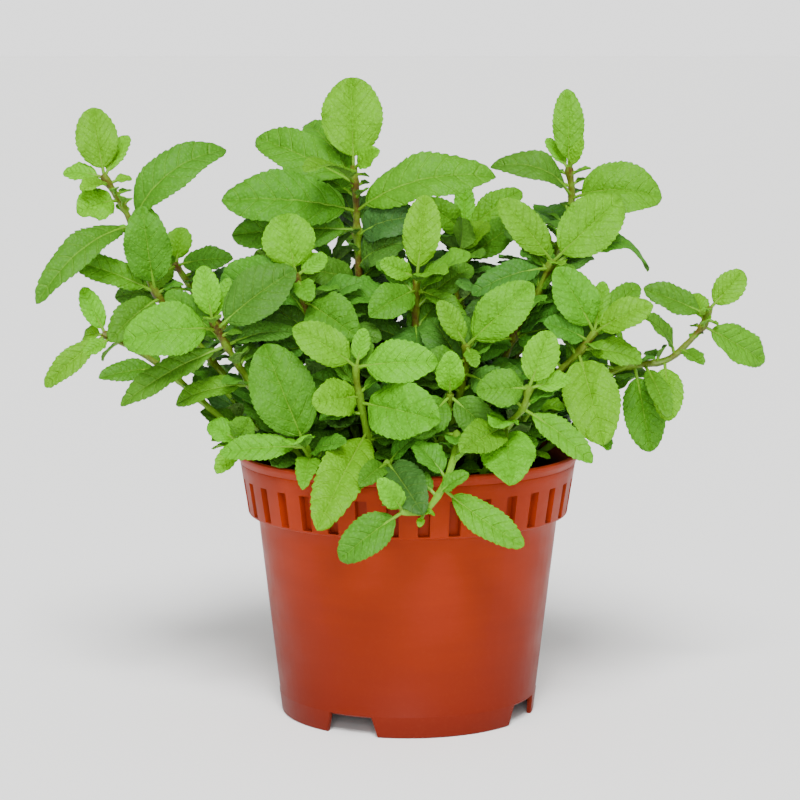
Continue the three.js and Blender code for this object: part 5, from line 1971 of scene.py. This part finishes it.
@dataclass(frozen=True)
class Lamp:
    """A studio lamp: an area light in watts, or a very soft sun where its size is an angle in degrees."""

    name: str
    kind: LampKind
    place: Point
    size: float
    power: float
    target: Point = (0.0, 0.0, 0.13)

    def hang(self) -> None:
        """Puts the lamp in the scene."""
        lamp = bpy.data.lights.new(self.name, self.kind.value)
        lamp.energy = self.power
        if self.kind is LampKind.SOFTBOX:
            lamp.shape, lamp.size = "SQUARE", self.size
        else:
            lamp.angle = math.radians(self.size)
        lamp_object = bpy.data.objects.new(self.name, lamp)
        lamp_object.location = self.place
        aim = Vector(self.target) - Vector(self.place)
        lamp_object.rotation_euler = aim.to_track_quat("-Z", "Y").to_euler()
        bpy.context.scene.collection.objects.link(lamp_object)


@dataclass
class Studio:
    """The floor, the lights and the camera. Sizes here are in metres."""

    floor_half: float = 30.0
    camera_place: Point = (-0.0032, -1.07, 0.277)
    camera_down: float = 7.92
    lens: float = 119.07
    sensor: float = 36.0
    clip: Range = (0.05, 100.0)
    # The air's brightness high up and low down, and the heights, from 0 to 1, between which it changes.
    sky: float = 0.58
    horizon: float = 1.9
    horizon_band: Range = (0.02, 0.14)
    air: str = "fefefe"
    lamps: tuple[Lamp, ...] = (
        Lamp("ceiling_light", LampKind.SUN, (0.0, -1.15, 1.4), 24.0, 6.2),
        Lamp("front_softbox", LampKind.SOFTBOX, (-0.05, -1.8, 0.5), 0.7, 22.0),
    )

    def set_up(self) -> None:
        """Lays the floor, hangs the lamps and places the camera."""
        self.lay_floor()
        for lamp in self.lamps:
            lamp.hang()
        self.light_air()
        camera = bpy.data.objects.new("camera", bpy.data.cameras.new("camera"))
        camera.location = self.camera_place
        camera.rotation_euler = (math.radians(90 - self.camera_down), 0.0, 0.0)
        camera.data.lens, camera.data.sensor_width = self.lens, self.sensor
        camera.data.clip_start, camera.data.clip_end = self.clip
        bpy.context.scene.collection.objects.link(camera)
        bpy.context.scene.camera = camera

    def light_air(self) -> None:
        """Lights the room's air: as bright as the floor low down, where they meet, and softer above."""
        world = bpy.data.worlds.new("studio_air")
        world.use_nodes = True
        tree = world.node_tree
        tree.nodes.clear()
        way = add_node(tree, "TexCoord", {}, "Generated")
        up = add_node(tree, "SeparateXYZ", {0: way}, 2)
        low, high = self.horizon_band
        strength = add_node(
            tree, "MapRange", {0: up, 1: low, 2: high, 3: self.horizon, 4: self.sky},
            interpolation_type="SMOOTHSTEP",
        )
        air = add_node(tree, "Background", {"Color": srgb(self.air), "Strength": strength})
        add_node(tree, "OutputWorld", {"Surface": air}, None)
        bpy.context.scene.world = world

    def lay_floor(self) -> None:
        """Lays a large sheet of paper under the pot."""
        half = self.floor_half
        mesh = bpy.data.meshes.new("floor")
        corners = [(-half, -half, 0), (half, -half, 0), (half, half, 0), (-half, half, 0)]
        mesh.from_pydata(corners, [], [(0, 1, 2, 3)])
        mesh.materials.append(PaperFloor().material())
        floor = bpy.data.objects.new("floor", mesh)
        bpy.context.scene.collection.objects.link(floor)


def keep(piece: Object, node: str) -> None:
    """Fixes a finished piece to the frame in place of its CAD node.

    Args:
        piece: The finished piece.
        node: The CAD node that it stands for.
    """
    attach(piece, "root")
    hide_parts(node)
    log.info("%s: %d faces, for %s", piece.name, len(piece.data.polygons), node)


def main() -> None:
    """Builds the studio, the pot, the soil and the plant, in that order."""
    Studio().set_up()
    pot = NurseryPot()
    keep(pot.build(MouldedPolypropylene().material()), "pot")
    keep(PottingSoil().build(pot, PeatMix().material()), "soil")
    clump = MintClump()
    clump.place_leaves(pot)
    clump.thicken()
    clump.shade_leaves()
    skins = [
        MintLeafSkin(Side.UPPER).material(), MintLeafSkin(Side.LOWER).material(), MintStemSkin().material(),
    ]
    for name, stem in clump.stems.items():
        blades = [blade for blade in clump.blades if blade.owner == name]
        keep(LeafyShoot().dress(name, stem, blades, skins), f"shoot_{name}")


if __name__ == "__main__":
    main()
